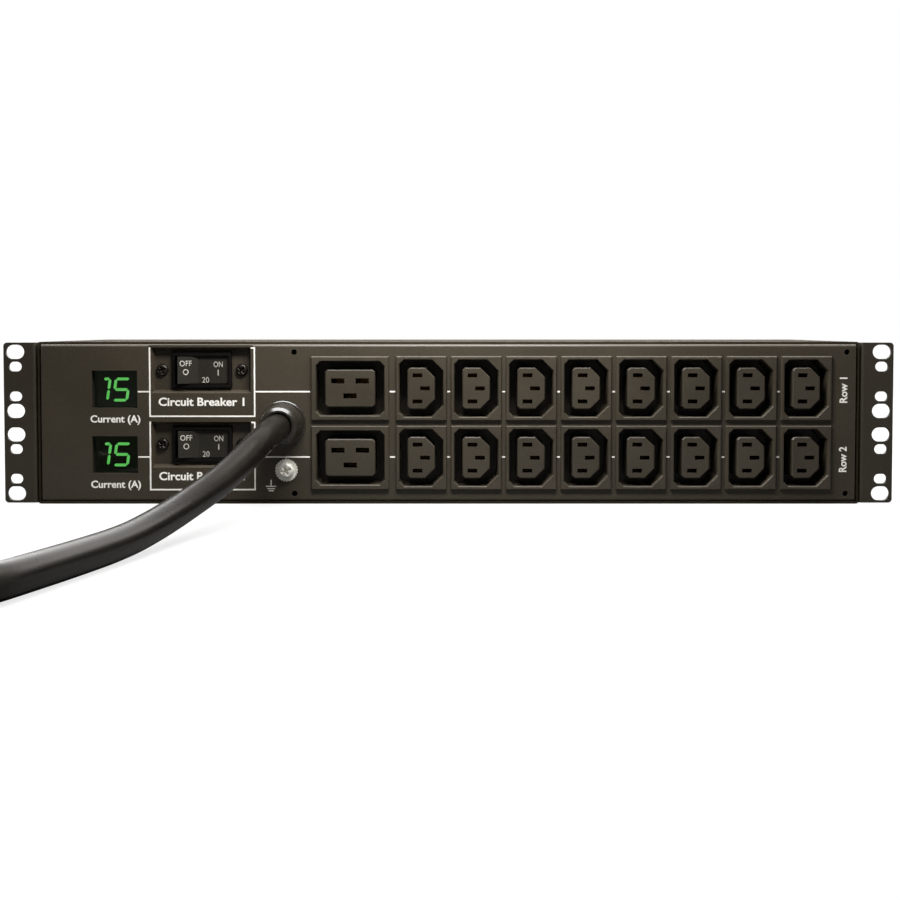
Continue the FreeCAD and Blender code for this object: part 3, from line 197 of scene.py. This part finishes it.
def lit_segment():
    """Light bars of a green display, uneven where the light inside them spreads."""
    material, tree, shader = new_material("green_light_bar", Base_Color=linear("#1c4a20"), Roughness=0.4,
                                          Emission_Strength=1.4)
    place = add(tree, "ShaderNodeTexCoord").outputs["Object"]
    haze = add(tree, "ShaderNodeTexNoise", {"Vector": place, "Scale": per_metre(3.0), "Detail": 2.0})
    colour = add(tree, "ShaderNodeMix", {"Factor": haze.outputs["Fac"], 6: linear("#45cc48"),
                                         7: linear("#8fe88a")}, data_type="RGBA")
    tree.links.new(colour.outputs[2], shader.inputs["Emission Color"])
    return material


MATERIALS = {
    "panel": powder_coat("powder_coat_panel", "#302a1f", "#383126"),
    "case": powder_coat("powder_coat_case", "#2a251c", "#342d23", roughness=0.8, specular=0.05),
    "ear": powder_coat("powder_coat_ears", "#2b261d", "#332d23"),
    "outlet": moulded_plastic("moulded_outlet", "#322d24", "#3c362c", roughness=0.4),
    "breaker": moulded_plastic("moulded_breaker_case", "#080706", "#0d0b09", roughness=0.5, specular=0.15),
    "rocker": moulded_plastic("moulded_rocker", "#22201b", "#2c2923", roughness=0.42, specular=0.25),
    "bezel": moulded_plastic("moulded_meter_shroud", "#171512", "#201d19", roughness=0.45),
    "display": display_diffuser_painted_glow(),
    "gland": moulded_plastic("moulded_nylon_gland", "#191612", "#23201a", roughness=0.27, specular=0.5),
    "plug": moulded_plastic("moulded_plug", "#1c1b18", "#292723", roughness=0.5),
    "block": moulded_plastic("terminal_block_resin", "#b4aea0", "#cbc6ba", roughness=0.5),
    "sensor": moulded_plastic("potted_sensor", "#15285a", "#1d3472", roughness=0.25),
    "board": moulded_plastic("solder_mask", "#0f4a26", "#17603a", roughness=0.35),
    "nylon": moulded_plastic("nylon_spacer", "#cfc9bb", "#e2ded3", roughness=0.45),
    "line": moulded_plastic("line_insulation", "#161616", "#242424", roughness=0.4),
    "neutral": moulded_plastic("neutral_insulation", "#c9c6bd", "#dedbd3", roughness=0.4),
    "earth": moulded_plastic("earth_insulation", "#1d6a2c", "#2b8440", roughness=0.4),
    "black_screw": plated_metal("blackened_screw", "#2c2a27", "#45423d", roughness=0.4),
    "zinc": plated_metal("zinc_flake_screw", "#d6d2c7", "#f0ede5", roughness=0.6, grain_depth_mm=0.03,
                         metallic=0.5),
    "brass": plated_metal("rolled_brass", "#a8823f", "#c9a45a", roughness=0.32),
    "cord": rubber_jacket(),
    "tie": woven_strap(),
    "window": smoked_window(),
    "lit": lit_segment(),
    "ink": printed_ink("screen_print_ink", "#dcd8cf", "#efece5"),
    "rocker_ink": printed_ink("pad_print_ink", "#a5a198", "#bbb7ad"),
}

SLOT_MATERIALS = {
    "panel_paint": "panel", "case_paint": "case", "ear_paint": "ear", "black_screw": "black_screw",
    "bright_screw": "zinc", "outlet_plastic": "outlet", "contact_brass": "brass",
    "breaker_plastic": "breaker", "rocker_plastic": "rocker", "bezel_plastic": "bezel",
    "smoked_window": "window", "display_case": "display", "circuit_board": "board", "spacer_nylon": "nylon",
    "gland_nylon": "gland", "cord_jacket": "cord", "tie_strap": "tie", "plug_rubber": "plug",
    "block_plastic": "block", "sensor_resin": "sensor", "line_insulation": "line",
    "neutral_insulation": "neutral", "earth_insulation": "earth",
}


def dress_nodes():
    """Gives every solid the material of its slot in the record."""
    for entry in frame["record"]["subparts"]:
        mesh = frame["nodes"][entry["node"]].data
        mesh.materials.clear()
        mesh.materials.append(MATERIALS[SLOT_MATERIALS[entry["material_slot"]]])


# Meshes

def put(name, points_mm, faces, material, body, smooth=False):
    """A piece from an array of points in millimetres, riding on a body."""
    mesh = bpy.data.meshes.new(name)
    mesh.from_pydata((np.asarray(points_mm, float) * MM).tolist(), [], [list(face) for face in faces])
    mesh.materials.append(MATERIALS[material])
    mesh.polygons.foreach_set("use_smooth", np.full(len(mesh.polygons), smooth))
    mesh.update()
    piece = bpy.data.objects.new(name, mesh)
    bpy.context.scene.collection.objects.link(piece)
    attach(piece, body)
    return piece


def joined(parts):
    """Points and faces of several shapes as one, each shape's faces counted on from the points before it."""
    starts = np.cumsum([0] + [len(points) for points, faces in parts])
    faces = [np.add(face, start).tolist() for (points, own), start in zip(parts, starts) for face in own]
    return np.concatenate([points for points, own in parts]), faces


def prisms(outlines, front, thickness):
    """Closed slabs from outlines of (x, z) points, counter-clockwise from the front, lying on a Y plane.

    Each outline gives a front ring and a back ring of the same x and z, one thickness apart, and a band of
    four-sided faces that joins each side of one ring to the same side of the other.
    """
    rings = np.asarray(outlines, float)
    count, sides = rings.shape[:2]
    points = np.empty((count, 2, sides, 3))
    points[..., 0] = rings[:, None, :, 0]
    points[..., 1] = np.array([front - thickness, front])[:, None]
    points[..., 2] = rings[:, None, :, 1]
    near = np.arange(count)[:, None] * 2 * sides + np.arange(sides)
    far = near + sides
    band = np.stack([np.roll(near, -1, 1), near, far, np.roll(far, -1, 1)], axis=2).reshape(-1, 4)
    return points.reshape(-1, 3), near.tolist() + far[:, ::-1].tolist() + band.tolist()


def bar(x0, z0, x1, z1):
    """Outline of an upright rectangle."""
    return [(x0, z0), (x1, z0), (x1, z1), (x0, z1)]


INK = 0.06
LETTER_HALF_DEPTH = 0.5
CAPITAL = 0.69
PANEL_WEIGHT, ROCKER_WEIGHT = 0.024, 0.004


def lettering(words, wide, tall, weight):
    """Points and faces of raised words, centred at zero and fitted to a width and a height of capitals.

    Weight thickens the strokes, as a share of the letters' size. A capital of the font is 0.69 high.
    """
    curve = bpy.data.curves.new("words", "FONT")
    curve.body = words
    curve.extrude = LETTER_HALF_DEPTH
    curve.offset = weight
    curve.resolution_u = 3
    holder = bpy.data.objects.new("words", curve)
    bpy.context.scene.collection.objects.link(holder)
    mesh = bpy.data.meshes.new_from_object(holder.evaluated_get(bpy.context.evaluated_depsgraph_get()))
    points = np.empty(len(mesh.vertices) * 3)
    mesh.vertices.foreach_get("co", points)
    points = points.reshape(-1, 3)
    faces = [tuple(polygon.vertices) for polygon in mesh.polygons]
    bpy.data.objects.remove(holder)
    bpy.data.curves.remove(curve)
    bpy.data.meshes.remove(mesh)
    left, right = points[:, 0].min(), points[:, 0].max()
    across = (points[:, 0] - (left + right) / 2) * wide / (right - left)
    upward = (points[:, 1] - CAPITAL / 2) * tall / CAPITAL
    return across, upward, points[:, 2], faces


def label(name, words, x, z, wide, tall, surface=FACE, upright=False, body=UNIT, lean=0.0,
          weight=PANEL_WEIGHT, ink="ink"):
    """Words printed on a front surface. Upright words read from bottom to top. Lean tilts them about Z.

    The words' own plane is laid on X and Z. A lean turns that plane about a vertical line through x, so that
    the words follow a sloping face.
    """
    across, upward, raised, faces = lettering(words, wide, tall, weight)
    out = (raised + LETTER_HALF_DEPTH) * INK
    if upright:
        across, upward = -upward, across
    turn = math.radians(lean)
    points = np.stack([x + across * math.cos(turn) + out * math.sin(turn),
                       surface + across * math.sin(turn) - out * math.cos(turn), z + upward], axis=1)
    return put(name, points, faces, ink, body)


# Printed lines and words on the panel

BANKS = (1, 2)
SMALL_COUNT = 8
LINE = 0.8
FRAME_LEFT, FRAME_RIGHT = -160.4, -103.5
FRAME_HEIGHTS = ((84.1, 46.7), (44.2, 7.2))
RECESS_RIGHT = -105.8
BANK_LINES = (60.3, 25.2)
METER_GAP, LARGE_OUTLET_GAP, SMALL_OUTLET_GAP = 0.3, 0.6, 0.35


def breaker_frame(high, low):
    """Four bars round a breaker. The top one shows only to the right of the breaker's recess."""
    return [bar(FRAME_LEFT, low, FRAME_LEFT + LINE, high),
            bar(FRAME_RIGHT - LINE, low, FRAME_RIGHT, high),
            bar(FRAME_LEFT + LINE, low, FRAME_RIGHT - LINE, low + LINE),
            bar(RECESS_RIGHT, high - LINE, FRAME_RIGHT - LINE, high)]


def bank_line(bank, z):
    """Bars from a meter to its breaker, on to the large outlet, and from each outlet to the next."""
    large_low, large_high = node_box(f"bank_{bank}_large_outlet")
    small = [node_box(f"bank_{bank}_outlet_{number}") for number in range(1, SMALL_COUNT + 1)]
    lefts = [low[0] for low, high in small]
    rights = [large_high[0]] + [high[0] for low, high in small[:-1]]
    ends = [(node_box(f"meter_{bank}_lens")[1][0] + METER_GAP, FRAME_LEFT),
            (FRAME_RIGHT, large_low[0] - LARGE_OUTLET_GAP)]
    ends += [(right + SMALL_OUTLET_GAP, left - SMALL_OUTLET_GAP) for right, left in zip(rights, lefts)]
    return [bar(x0, z - LINE / 2, x1, z + LINE / 2) for x0, x1 in ends]


def printed_lines():
    """Frames round the breakers and the lines that join each meter, breaker and row of outlets."""
    bars = []
    for high, low in FRAME_HEIGHTS:
        bars += breaker_frame(high, low)
    for bank, z in zip(BANKS, BANK_LINES):
        bars += bank_line(bank, z)
    points, faces = prisms(bars, FACE, INK)
    put("printed_lines", points, faces, "ink", UNIT)


EARTH_SIGN = (-95.3, 9.4)
EARTH_BARS = ((0.0, 5.6), (-1.3, 4.0), (-2.4, 2.6))
EARTH_LINE, EARTH_STEM = 0.5, 3.5


def earth_sign():
    """Earth symbol: a stem over three bars that get shorter downwards, each given by its rise and width."""
    x, z = EARTH_SIGN
    half = EARTH_LINE / 2
    bars = [bar(x - wide / 2, z + rise - half, x + wide / 2, z + rise + half) for rise, wide in EARTH_BARS]
    bars.append(bar(x - half, z + half, x + half, z + EARTH_STEM))
    points, faces = prisms(bars, FACE, INK)
    put("earth_sign", points, faces, "ink", UNIT)


# Words on the panel: how far right of and below a node's middle, then their width and height
METER_WORDS = (0.4, 15.9, 26.8, 3.7)
BREAKER_WORDS = (0.2, 16.9, 46.0, 4.2)
ROW_WORDS_X, ROW_WORDS_DROP, ROW_WORDS_WIDE, ROW_WORDS_TALL = 211.6, 1.0, 13.6, 3.9


def panel_words():
    for bank in BANKS:
        signs = (("meter_words", "Current (A)", f"meter_{bank}_lens", METER_WORDS),
                 ("breaker_words", f"Circuit Breaker {bank}", f"breaker_{bank}_body", BREAKER_WORDS))
        for name, words, node, (right, drop, wide, tall) in signs:
            middle = node_middle(node)
            label(f"{name}_{bank}", words, middle[0] + right, middle[2] - drop, wide, tall)
        row = node_middle(f"bank_{bank}_outlet_{SMALL_COUNT}")[2]
        label(f"row_words_{bank}", f"Row {bank}", ROW_WORDS_X, row - ROW_WORDS_DROP, ROW_WORDS_WIDE,
              ROW_WORDS_TALL, upright=True)


# Meters: green seven-segment digits behind the window

SEGMENTS = {"1": "hbc", "5": "afgcd"}
DIGITS = (("1", -8.5), ("5", 2.0))
DIGIT_TALL, DIGIT_WIDE, DIGIT_BAR, DIGIT_SLANT = 13.0, 8.8, 1.5, math.tan(math.radians(8))
DIGIT_DROP, DIGIT_RISE = 0.5, 0.15
SEGMENT_GAP, SHORT_SEGMENT = 0.15, 3.2


def segment_outline(letter):
    """One light bar of a digit about the digit's middle: a long hexagon with pointed ends.

    Bars a to g are the usual seven. Bar h is a short piece of the top one.
    """
    tall, wide, half = DIGIT_TALL / 2, DIGIT_WIDE / 2, DIGIT_BAR / 2
    level = {"a": tall - half, "h": tall - half, "g": 0.0, "d": half - tall}
    if letter in level:
        z, end = level[letter], wide - half - SEGMENT_GAP
        start = end - SHORT_SEGMENT if letter == "h" else -end
        return [(start, z), (start + half, z - half), (end - half, z - half), (end, z),
                (end - half, z + half), (start + half, z + half)]
    x = (wide - half) * (1 if letter in "bc" else -1)
    inner, outer = SEGMENT_GAP, tall - half - SEGMENT_GAP
    low, high = (inner, outer) if letter in "bf" else (-outer, -inner)
    return [(x, low), (x + half, low + half), (x + half, high - half), (x, high),
            (x - half, high - half), (x - half, low + half)]


def digits():
    """Two digits on each display, sheared to the right as such displays are."""
    for bank in BANKS:
        middle = node_middle(f"meter_{bank}_display")
        front = node_box(f"meter_{bank}_display")[0][1]
        bars = []
        for figure, shift in DIGITS:
            for letter in SEGMENTS[figure]:
                bars.append([(middle[0] + shift + x + z * DIGIT_SLANT, middle[2] - DIGIT_DROP + z)
                             for x, z in segment_outline(letter)])
        points, faces = prisms(bars, front, DIGIT_RISE)
        put(f"meter_{bank}_digits", points, faces, "lit", UNIT)


# Breakers: words on the rockers, which turn with them. Places are from the breaker's middle.

ROCKER_FLAT, ROCKER_BEND, ROCKER_LEAN = 3.3, -2.0, 20.1
OFF_X, ON_X = -8.3, 8.7
ROCKER_WORDS = (("OFF", OFF_X, 3.6, 6.5, 2.9), ("ON", ON_X, 3.1, 4.9, 2.9), ("I", ON_X, -1.4, 0.6, 3.0),
                ("20", 1.9, -5.3, 3.7, 3.0), ("O", OFF_X, -1.0, 3.1, 3.1))


def rocker_words():
    """Words on both halves of each rocker. Left of its bend the face comes forward at the lean's slope."""
    for bank in BANKS:
        middle = node_middle(f"breaker_{bank}_body")
        for word, x, rise, wide, tall in ROCKER_WORDS:
            lean = ROCKER_LEAN if x < ROCKER_BEND else 0.0
            forward = (ROCKER_BEND - x) * math.tan(math.radians(lean))
            label(f"rocker_{bank}_{word}", word, middle[0] + x, middle[2] + rise, wide, tall,
                  FACE + ROCKER_FLAT - forward, body=f"rocker_{bank}", lean=lean,
                  weight=ROCKER_WEIGHT, ink="rocker_ink")


# Cross-head screws

HEAD_AROUND, HEAD_RINGS = 64, 20
DOME_DROP, RIM_POWER = 0.3, 12
ARM_HALF_WIDTH, ARM_LENGTH, ARM_SIDE_EDGE, ARM_END_EDGE = 0.13, 0.58, 40, 30
CROSS_DEPTH = 0.6


def screw_head(x, y, z, radius, rise, turn):
    """A pan head with a cross recess, facing the front.

    Over radius r and angle a the height is a shallow dome, rise times (1 - 0.3 r^4), dropping over the
    rounded rim as the root of (1 - r^12). The recess takes away a depth wherever the point lies within either
    arm of the cross, with soft edges. The rings of the grid end in one middle point, and the last ring is
    closed by a flat face.
    """
    angle = np.linspace(0, 2 * np.pi, HEAD_AROUND, endpoint=False)[None, :]
    reach = np.linspace(0.0, 1.0, HEAD_RINGS)[:, None]
    dome = rise * (1 - DOME_DROP * reach ** 4) * np.sqrt(np.clip(1 - reach ** RIM_POWER, 0, 1))
    arm_x, arm_z = reach * np.cos(angle - turn), reach * np.sin(angle - turn)
    arms = [1 / (1 + np.exp((np.abs(across) - ARM_HALF_WIDTH) * ARM_SIDE_EDGE))
            / (1 + np.exp((np.abs(along) - ARM_LENGTH) * ARM_END_EDGE))
            for across, along in ((arm_x, arm_z), (arm_z, arm_x))]
    height = dome - CROSS_DEPTH * rise * np.maximum(*arms)
    grid = np.stack([x + radius * reach * np.cos(angle), y - height, z + radius * reach * np.sin(angle)],
                    axis=2)
    points = np.concatenate([grid[1:].reshape(-1, 3), grid[0, :1]])
    index = np.arange((HEAD_RINGS - 1) * HEAD_AROUND).reshape(HEAD_RINGS - 1, HEAD_AROUND)
    inner, outer, first = index[:-1], index[1:], index[0]
    bands = np.stack([inner, np.roll(inner, -1, 1), np.roll(outer, -1, 1), outer], axis=2).reshape(-1, 4)
    middle = np.stack([np.full(HEAD_AROUND, index.size), np.roll(first, -1), first], axis=1)
    return points, bands.tolist() + middle.tolist() + [index[-1].tolist()]


SCREW_SPREAD, RECESS_DEPTH = 42.8, 4.0
BREAKER_HEAD_RADIUS, BREAKER_HEAD_RISE = 3.25, 2.0
BREAKER_HEAD_TURNS = (((-1, 0.3), (1, 0.8)), ((-1, 0.9), (1, 1.4)))
EARTH_HEAD_RADIUS, EARTH_HEAD_RISE, EARTH_HEAD_TURN = 4.3, 2.7, 0.4
WASHER_SHEET = 0.8


def screws():
    """Heads of the breakers' screws and of the earth screw, each turned as it was driven."""
    heads = []
    for bank, turns in zip(BANKS, BREAKER_HEAD_TURNS):
        middle = node_middle(f"breaker_{bank}_body")
        heads += [screw_head(middle[0] + side * SCREW_SPREAD / 2, FACE + RECESS_DEPTH, middle[2],
                             BREAKER_HEAD_RADIUS, BREAKER_HEAD_RISE, turn) for side, turn in turns]
    points, faces = joined(heads)
    piece = put("breaker_screw_heads", points, faces, "black_screw", UNIT, smooth=True)
    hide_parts("breaker_screws")
    middle = node_middle("ground_screw")
    points, faces = screw_head(middle[0], FACE - WASHER_SHEET, middle[2], EARTH_HEAD_RADIUS, EARTH_HEAD_RISE,
                               EARTH_HEAD_TURN)
    piece = put("earth_screw_head", points, faces, "zinc", UNIT, smooth=True)
    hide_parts("ground_screw")


# Lead: the route's points from the panel's face, then the coil's turns, then the tail to the plug

LEAD = ((-88.5, 2.0, 43.5), (-88.5, -44.0, 43.5), (-104.0, -84.0, 24.6), (-117.0, -117.0, 15.2),
        (-125.0, -146.0, 10.4), (-132.0, -173.0, 7.6), (-141.0, -204.0, 7.0), (-150.0, -237.0, 7.1),
        (-157.0, -262.0, 7.3), (-173.8, -286.9, 7.6), (-197.8, -304.9, 7.9), (-226.2, -313.8, 8.1),
        (-255.0, -314.4, 8.2), (-284.0, -313.0, 8.2))
TAIL = ((-376.0, -215.0, 21.0), (-376.6, -187.0, 21.4), (-378.6, -160.0, 23.8), (-380.0, -132.0, 26.0),
        (-380.0, -104.0, 26.0))
CORD_WIDE, CORD_LENGTH = 14.0, 2.65
COIL_MIDDLE = (-284.0, -215.0)
COIL_TURNS, CLIMB_START, CLIMB_END = 4.25, 2.25, 2.65
LOW_LAYER, HIGH_LAYER = 8.2, 21.0
POINTS_A_TURN = 16


def coil_points():
    """Turns of the coil: a flat spiral inwards, a climb, and a second layer outwards.

    Inwards the radius shrinks by one cord width a turn. Outwards it grows evenly to where the tail starts.
    """
    outer = abs(LEAD[-1][1] - COIL_MIDDLE[1])
    inner = outer - CORD_WIDE * CLIMB_START
    end = abs(TAIL[0][0] - COIL_MIDDLE[0])
    count = int(COIL_TURNS * POINTS_A_TURN)
    for step in range(1, count):
        turn = step * COIL_TURNS / count
        climb = min(max((turn - CLIMB_START) / (CLIMB_END - CLIMB_START), 0), 1)
        radius = outer - CORD_WIDE * turn
        if turn > CLIMB_START:
            radius = inner + (end - inner) * (turn - CLIMB_START) / (COIL_TURNS - CLIMB_START)
        angle = -math.pi / 2 - turn * 2 * math.pi
        yield (COIL_MIDDLE[0] + radius * math.cos(angle), COIL_MIDDLE[1] + radius * math.sin(angle),
               LOW_LAYER + (HIGH_LAYER - LOW_LAYER) * climb)


TIE_WIDE, TIE_SHEET = 6.0, 1.1
TIE_STEPS = 120
TIE_END_FROM, TIE_END_TO, TIE_END_STEPS = 0.6, 2.4, 40
RIGHT_QUARTERS = (3, 7, 11, 15)
CURVE_PULL = 0.75


def carried(sections, closed):
    """Points and faces of a section carried along a path, given as its places there.

    A closed path meets its start again, and an open one has a cap at each end.
    """
    index = np.arange(sections.shape[0] * sections.shape[1]).reshape(sections.shape[:2])
    rows = np.concatenate([index, index[:1]]) if closed else index
    here, there = rows[:-1], rows[1:]
    band = np.stack([here, np.roll(here, -1, 1), np.roll(there, -1, 1), there], axis=2)
    faces = band.reshape(-1, 4).tolist()
    if not closed:
        faces += [index[0][::-1].tolist(), index[-1].tolist()]
    return sections.reshape(-1, 3), faces


def strap(middles, angle, layer):
    """Sections of a taut strap at a range of angles round a bundle of turns, so many sheets out.

    At each angle the strap touches the turn that reaches furthest that way, so its path is that turn's middle
    plus the cord's radius along the angle. Each section is an oblong, one sheet thick and the strap wide.
    """
    way = np.stack([np.cos(angle), np.sin(angle)], axis=1)
    touched = middles[np.argmax(way @ middles.T, axis=1)]
    reach = CORD_WIDE / 2 + TIE_SHEET * np.array([layer, layer + 1, layer + 1, layer])
    sections = np.empty((len(angle), 4, 3))
    sections[:, :, [0, 2]] = touched[:, None] + way[:, None] * reach[:, None]
    sections[:, :, 1] = COIL_MIDDLE[1] + FACE + TIE_WIDE / 2 * np.array([-1, -1, 1, 1])
    return sections


def coil_tie():
    """Woven strap pulled round the turns on the coil's right, with its end laid over it across the top.

    The coil passes its right three quarters into each turn. The cord's curve comes three quarters of the
    way to each point of its route from the middle of that point's neighbours.
    """
    route = np.array(list(coil_points()))
    right = np.array(RIGHT_QUARTERS) * POINTS_A_TURN // 4 - 1
    beside = (route[right - 1] + route[right + 1]) / 2
    middles = (CURVE_PULL * route[right] + (1 - CURVE_PULL) * beside)[:, [0, 2]]
    loop = np.linspace(0.0, 2 * math.pi, TIE_STEPS, endpoint=False)
    end = np.linspace(TIE_END_FROM, TIE_END_TO, TIE_END_STEPS)
    points, faces = joined([carried(strap(middles, loop, 0), True), carried(strap(middles, end, 1), False)])
    tie = put("coil_tie", points, faces, "tie", UNIT)
    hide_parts("cord_tie")
    return tie


def supply_cord():
    """The cord as a round curve through its route, with its tie and plug."""
    curve = bpy.data.curves.new("supply_cord", "CURVE")
    curve.dimensions = "3D"
    route = [(x, y + FACE, z) for x, y, z in LEAD + tuple(coil_points()) + TAIL]
    spline = curve.splines.new("NURBS")
    spline.points.add(len(route) - 1)
    for point, place in zip(spline.points, route):
        point.co = metres(*place) + (1.0,)
    spline.order_u = 3
    spline.use_endpoint_u = True
    spline.resolution_u = 8
    curve.bevel_depth = CORD_WIDE / 2 * MM
    curve.bevel_resolution = 8
    curve.use_fill_caps = True
    curve.materials.append(MATERIALS["cord"])
    cord = bpy.data.objects.new("supply_cord", curve)
    bpy.context.scene.collection.objects.link(cord)
    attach(cord, UNIT)
    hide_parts("power_cord", "cord_coil", "cord_tail")
    plug = [frame["nodes"][name] for name in ("plug_body", "plug_blades")]
    [coil_tie()] + plug


# Stage, light and camera

WHITE = (1, 1, 1, 1)
FLOOR_HALF = 6000.0
FLOOR_GLOW, AMBIENT = 0.78, 0.06
GLOW_NEAR, GLOW_FAR = metres(600, 2400)
FLOOR_SEEN_NEAR, FLOOR_SEEN_FAR = metres(100, 500)
SKY_SEEN_NEAR, SKY_SEEN_FAR = 0.1, 0.6


def seen_rays(tree, place, near, far):
    """One for rays that see the surround, straight or through glass, and zero for rays that only carry light.

    Reflections see it behind the object alone, from near to far along Y, as if the camera's side were dark.
    """
    path = add(tree, "ShaderNodeLightPath").outputs
    along = add(tree, "ShaderNodeSeparateXYZ", {0: place}).outputs["Y"]
    behind = add(tree, "ShaderNodeMapRange", {"Value": along, "From Min": near, "From Max": far}).outputs[0]
    glossy = add(tree, "ShaderNodeMath", {0: path["Is Glossy Ray"], 1: behind}, operation="MULTIPLY")
    total = glossy.outputs[0]
    for ray in ("Is Camera Ray", "Is Transmission Ray"):
        total = add(tree, "ShaderNodeMath", {0: total, 1: path[ray]}, operation="MAXIMUM").outputs[0]
    return total


def floor():
    """A pale floor with the object's soft shadow on it, which fades into the white surround far off."""
    corners = [metres(*corner, 0) for corner in bar(-FLOOR_HALF, -FLOOR_HALF, FLOOR_HALF, FLOOR_HALF)]
    mesh = bpy.data.meshes.new("studio_floor")
    mesh.from_pydata(corners, [], [(0, 1, 2, 3)])
    material, tree, shader = new_material("pale_paper", Base_Color=linear("#525251"), Roughness=0.9,
                                          Emission_Color=WHITE)
    place = add(tree, "ShaderNodeTexCoord").outputs["Object"]
    reach = add(tree, "ShaderNodeVectorMath", {0: place}, operation="LENGTH").outputs["Value"]
    level = add(tree, "ShaderNodeMapRange", {"Value": reach, "From Min": GLOW_NEAR, "From Max": GLOW_FAR,
                                             "To Min": FLOOR_GLOW, "To Max": 1.0}).outputs[0]
    seen = seen_rays(tree, place, FLOOR_SEEN_NEAR, FLOOR_SEEN_FAR)
    glow = add(tree, "ShaderNodeMath", {0: seen, 1: level}, operation="MULTIPLY")
    tree.links.new(glow.outputs[0], shader.inputs["Emission Strength"])
    mesh.materials.append(material)
    piece = bpy.data.objects.new("studio_floor", mesh)
    bpy.context.scene.collection.objects.link(piece)


def surround():
    """A white surround for the rays that see it, and a faint even light for the others."""
    world = bpy.data.worlds.new("white_surround")
    world.use_nodes = True
    tree = world.node_tree
    way = add(tree, "ShaderNodeTexCoord").outputs["Generated"]
    seen = seen_rays(tree, way, SKY_SEEN_NEAR, SKY_SEEN_FAR)
    level = add(tree, "ShaderNodeMapRange", {"Value": seen, "To Min": AMBIENT, "To Max": 1.0})
    background = tree.nodes["Background"]
    tree.links.new(level.outputs[0], background.inputs["Strength"])
    background.inputs["Color"].default_value = WHITE
    bpy.context.scene.world = world


def direction_euler(aim):
    """Turn that points an object's own -Z along a direction, with its own Y as near up as can be."""
    flat = math.hypot(aim[0], aim[1])
    return (math.atan2(flat, -aim[2]), 0.0, math.atan2(aim[1], aim[0]) - math.pi / 2)


def lamp(name, place, target, wide, tall, watts):
    """A soft box at a place, facing a target, all in millimetres."""
    light = bpy.data.lights.new(name, "AREA")
    light.shape = "RECTANGLE"
    light.size, light.size_y = metres(wide, tall)
    light.energy = watts
    holder = bpy.data.objects.new(name, light)
    holder.location = metres(*place)
    holder.rotation_euler = direction_euler(np.array(target, float) - np.array(place, float))
    holder.visible_camera = False
    bpy.context.scene.collection.objects.link(holder)


def lights():
    """A broad box overhead, a small near one over the panel's middle, and a low one behind for the edges."""
    lamp("overhead_box", (0, -100, 1300), (0, -40, 40), wide=1500, tall=500, watts=48)
    lamp("key_box", (2, FACE - 130, 270), (0, FACE, 75), wide=200, tall=60, watts=1.75)
    lamp("back_box", (0, 1000, 520), (0, 80, 45), wide=1800, tall=500, watts=12)


DISTANCE, EYE, PITCH = 700.0, 94.4, 2.3
FOCAL_PIXELS, PICTURE = 1308.0, 900.0
AXIS_ROW, AXIS_COLUMN = 380.5, 448.5
SENSOR = 36.0


def camera():
    """The photograph's view: level with the top of the panel, looking slightly down, shifted to frame it."""
    data = bpy.data.cameras.new("front_camera")
    data.sensor_width = SENSOR
    data.lens = SENSOR * FOCAL_PIXELS / PICTURE
    data.shift_y = (AXIS_ROW - PICTURE / 2) / PICTURE
    data.shift_x = -(AXIS_COLUMN - PICTURE / 2) / PICTURE
    data.clip_start, data.clip_end = metres(10, 100000)
    eye = bpy.data.objects.new("front_camera", data)
    eye.location = metres(0, FACE - DISTANCE, EYE)
    eye.rotation_euler = (math.radians(90 - PITCH), 0, 0)
    bpy.context.scene.collection.objects.link(eye)
    bpy.context.scene.camera = eye


bpy.context.scene.view_settings.view_transform = "Standard"
dress_nodes()
printed_lines()
earth_sign()
panel_words()
digits()
rocker_words()
screws()
supply_cord()
floor()
surround()
lights()
camera()
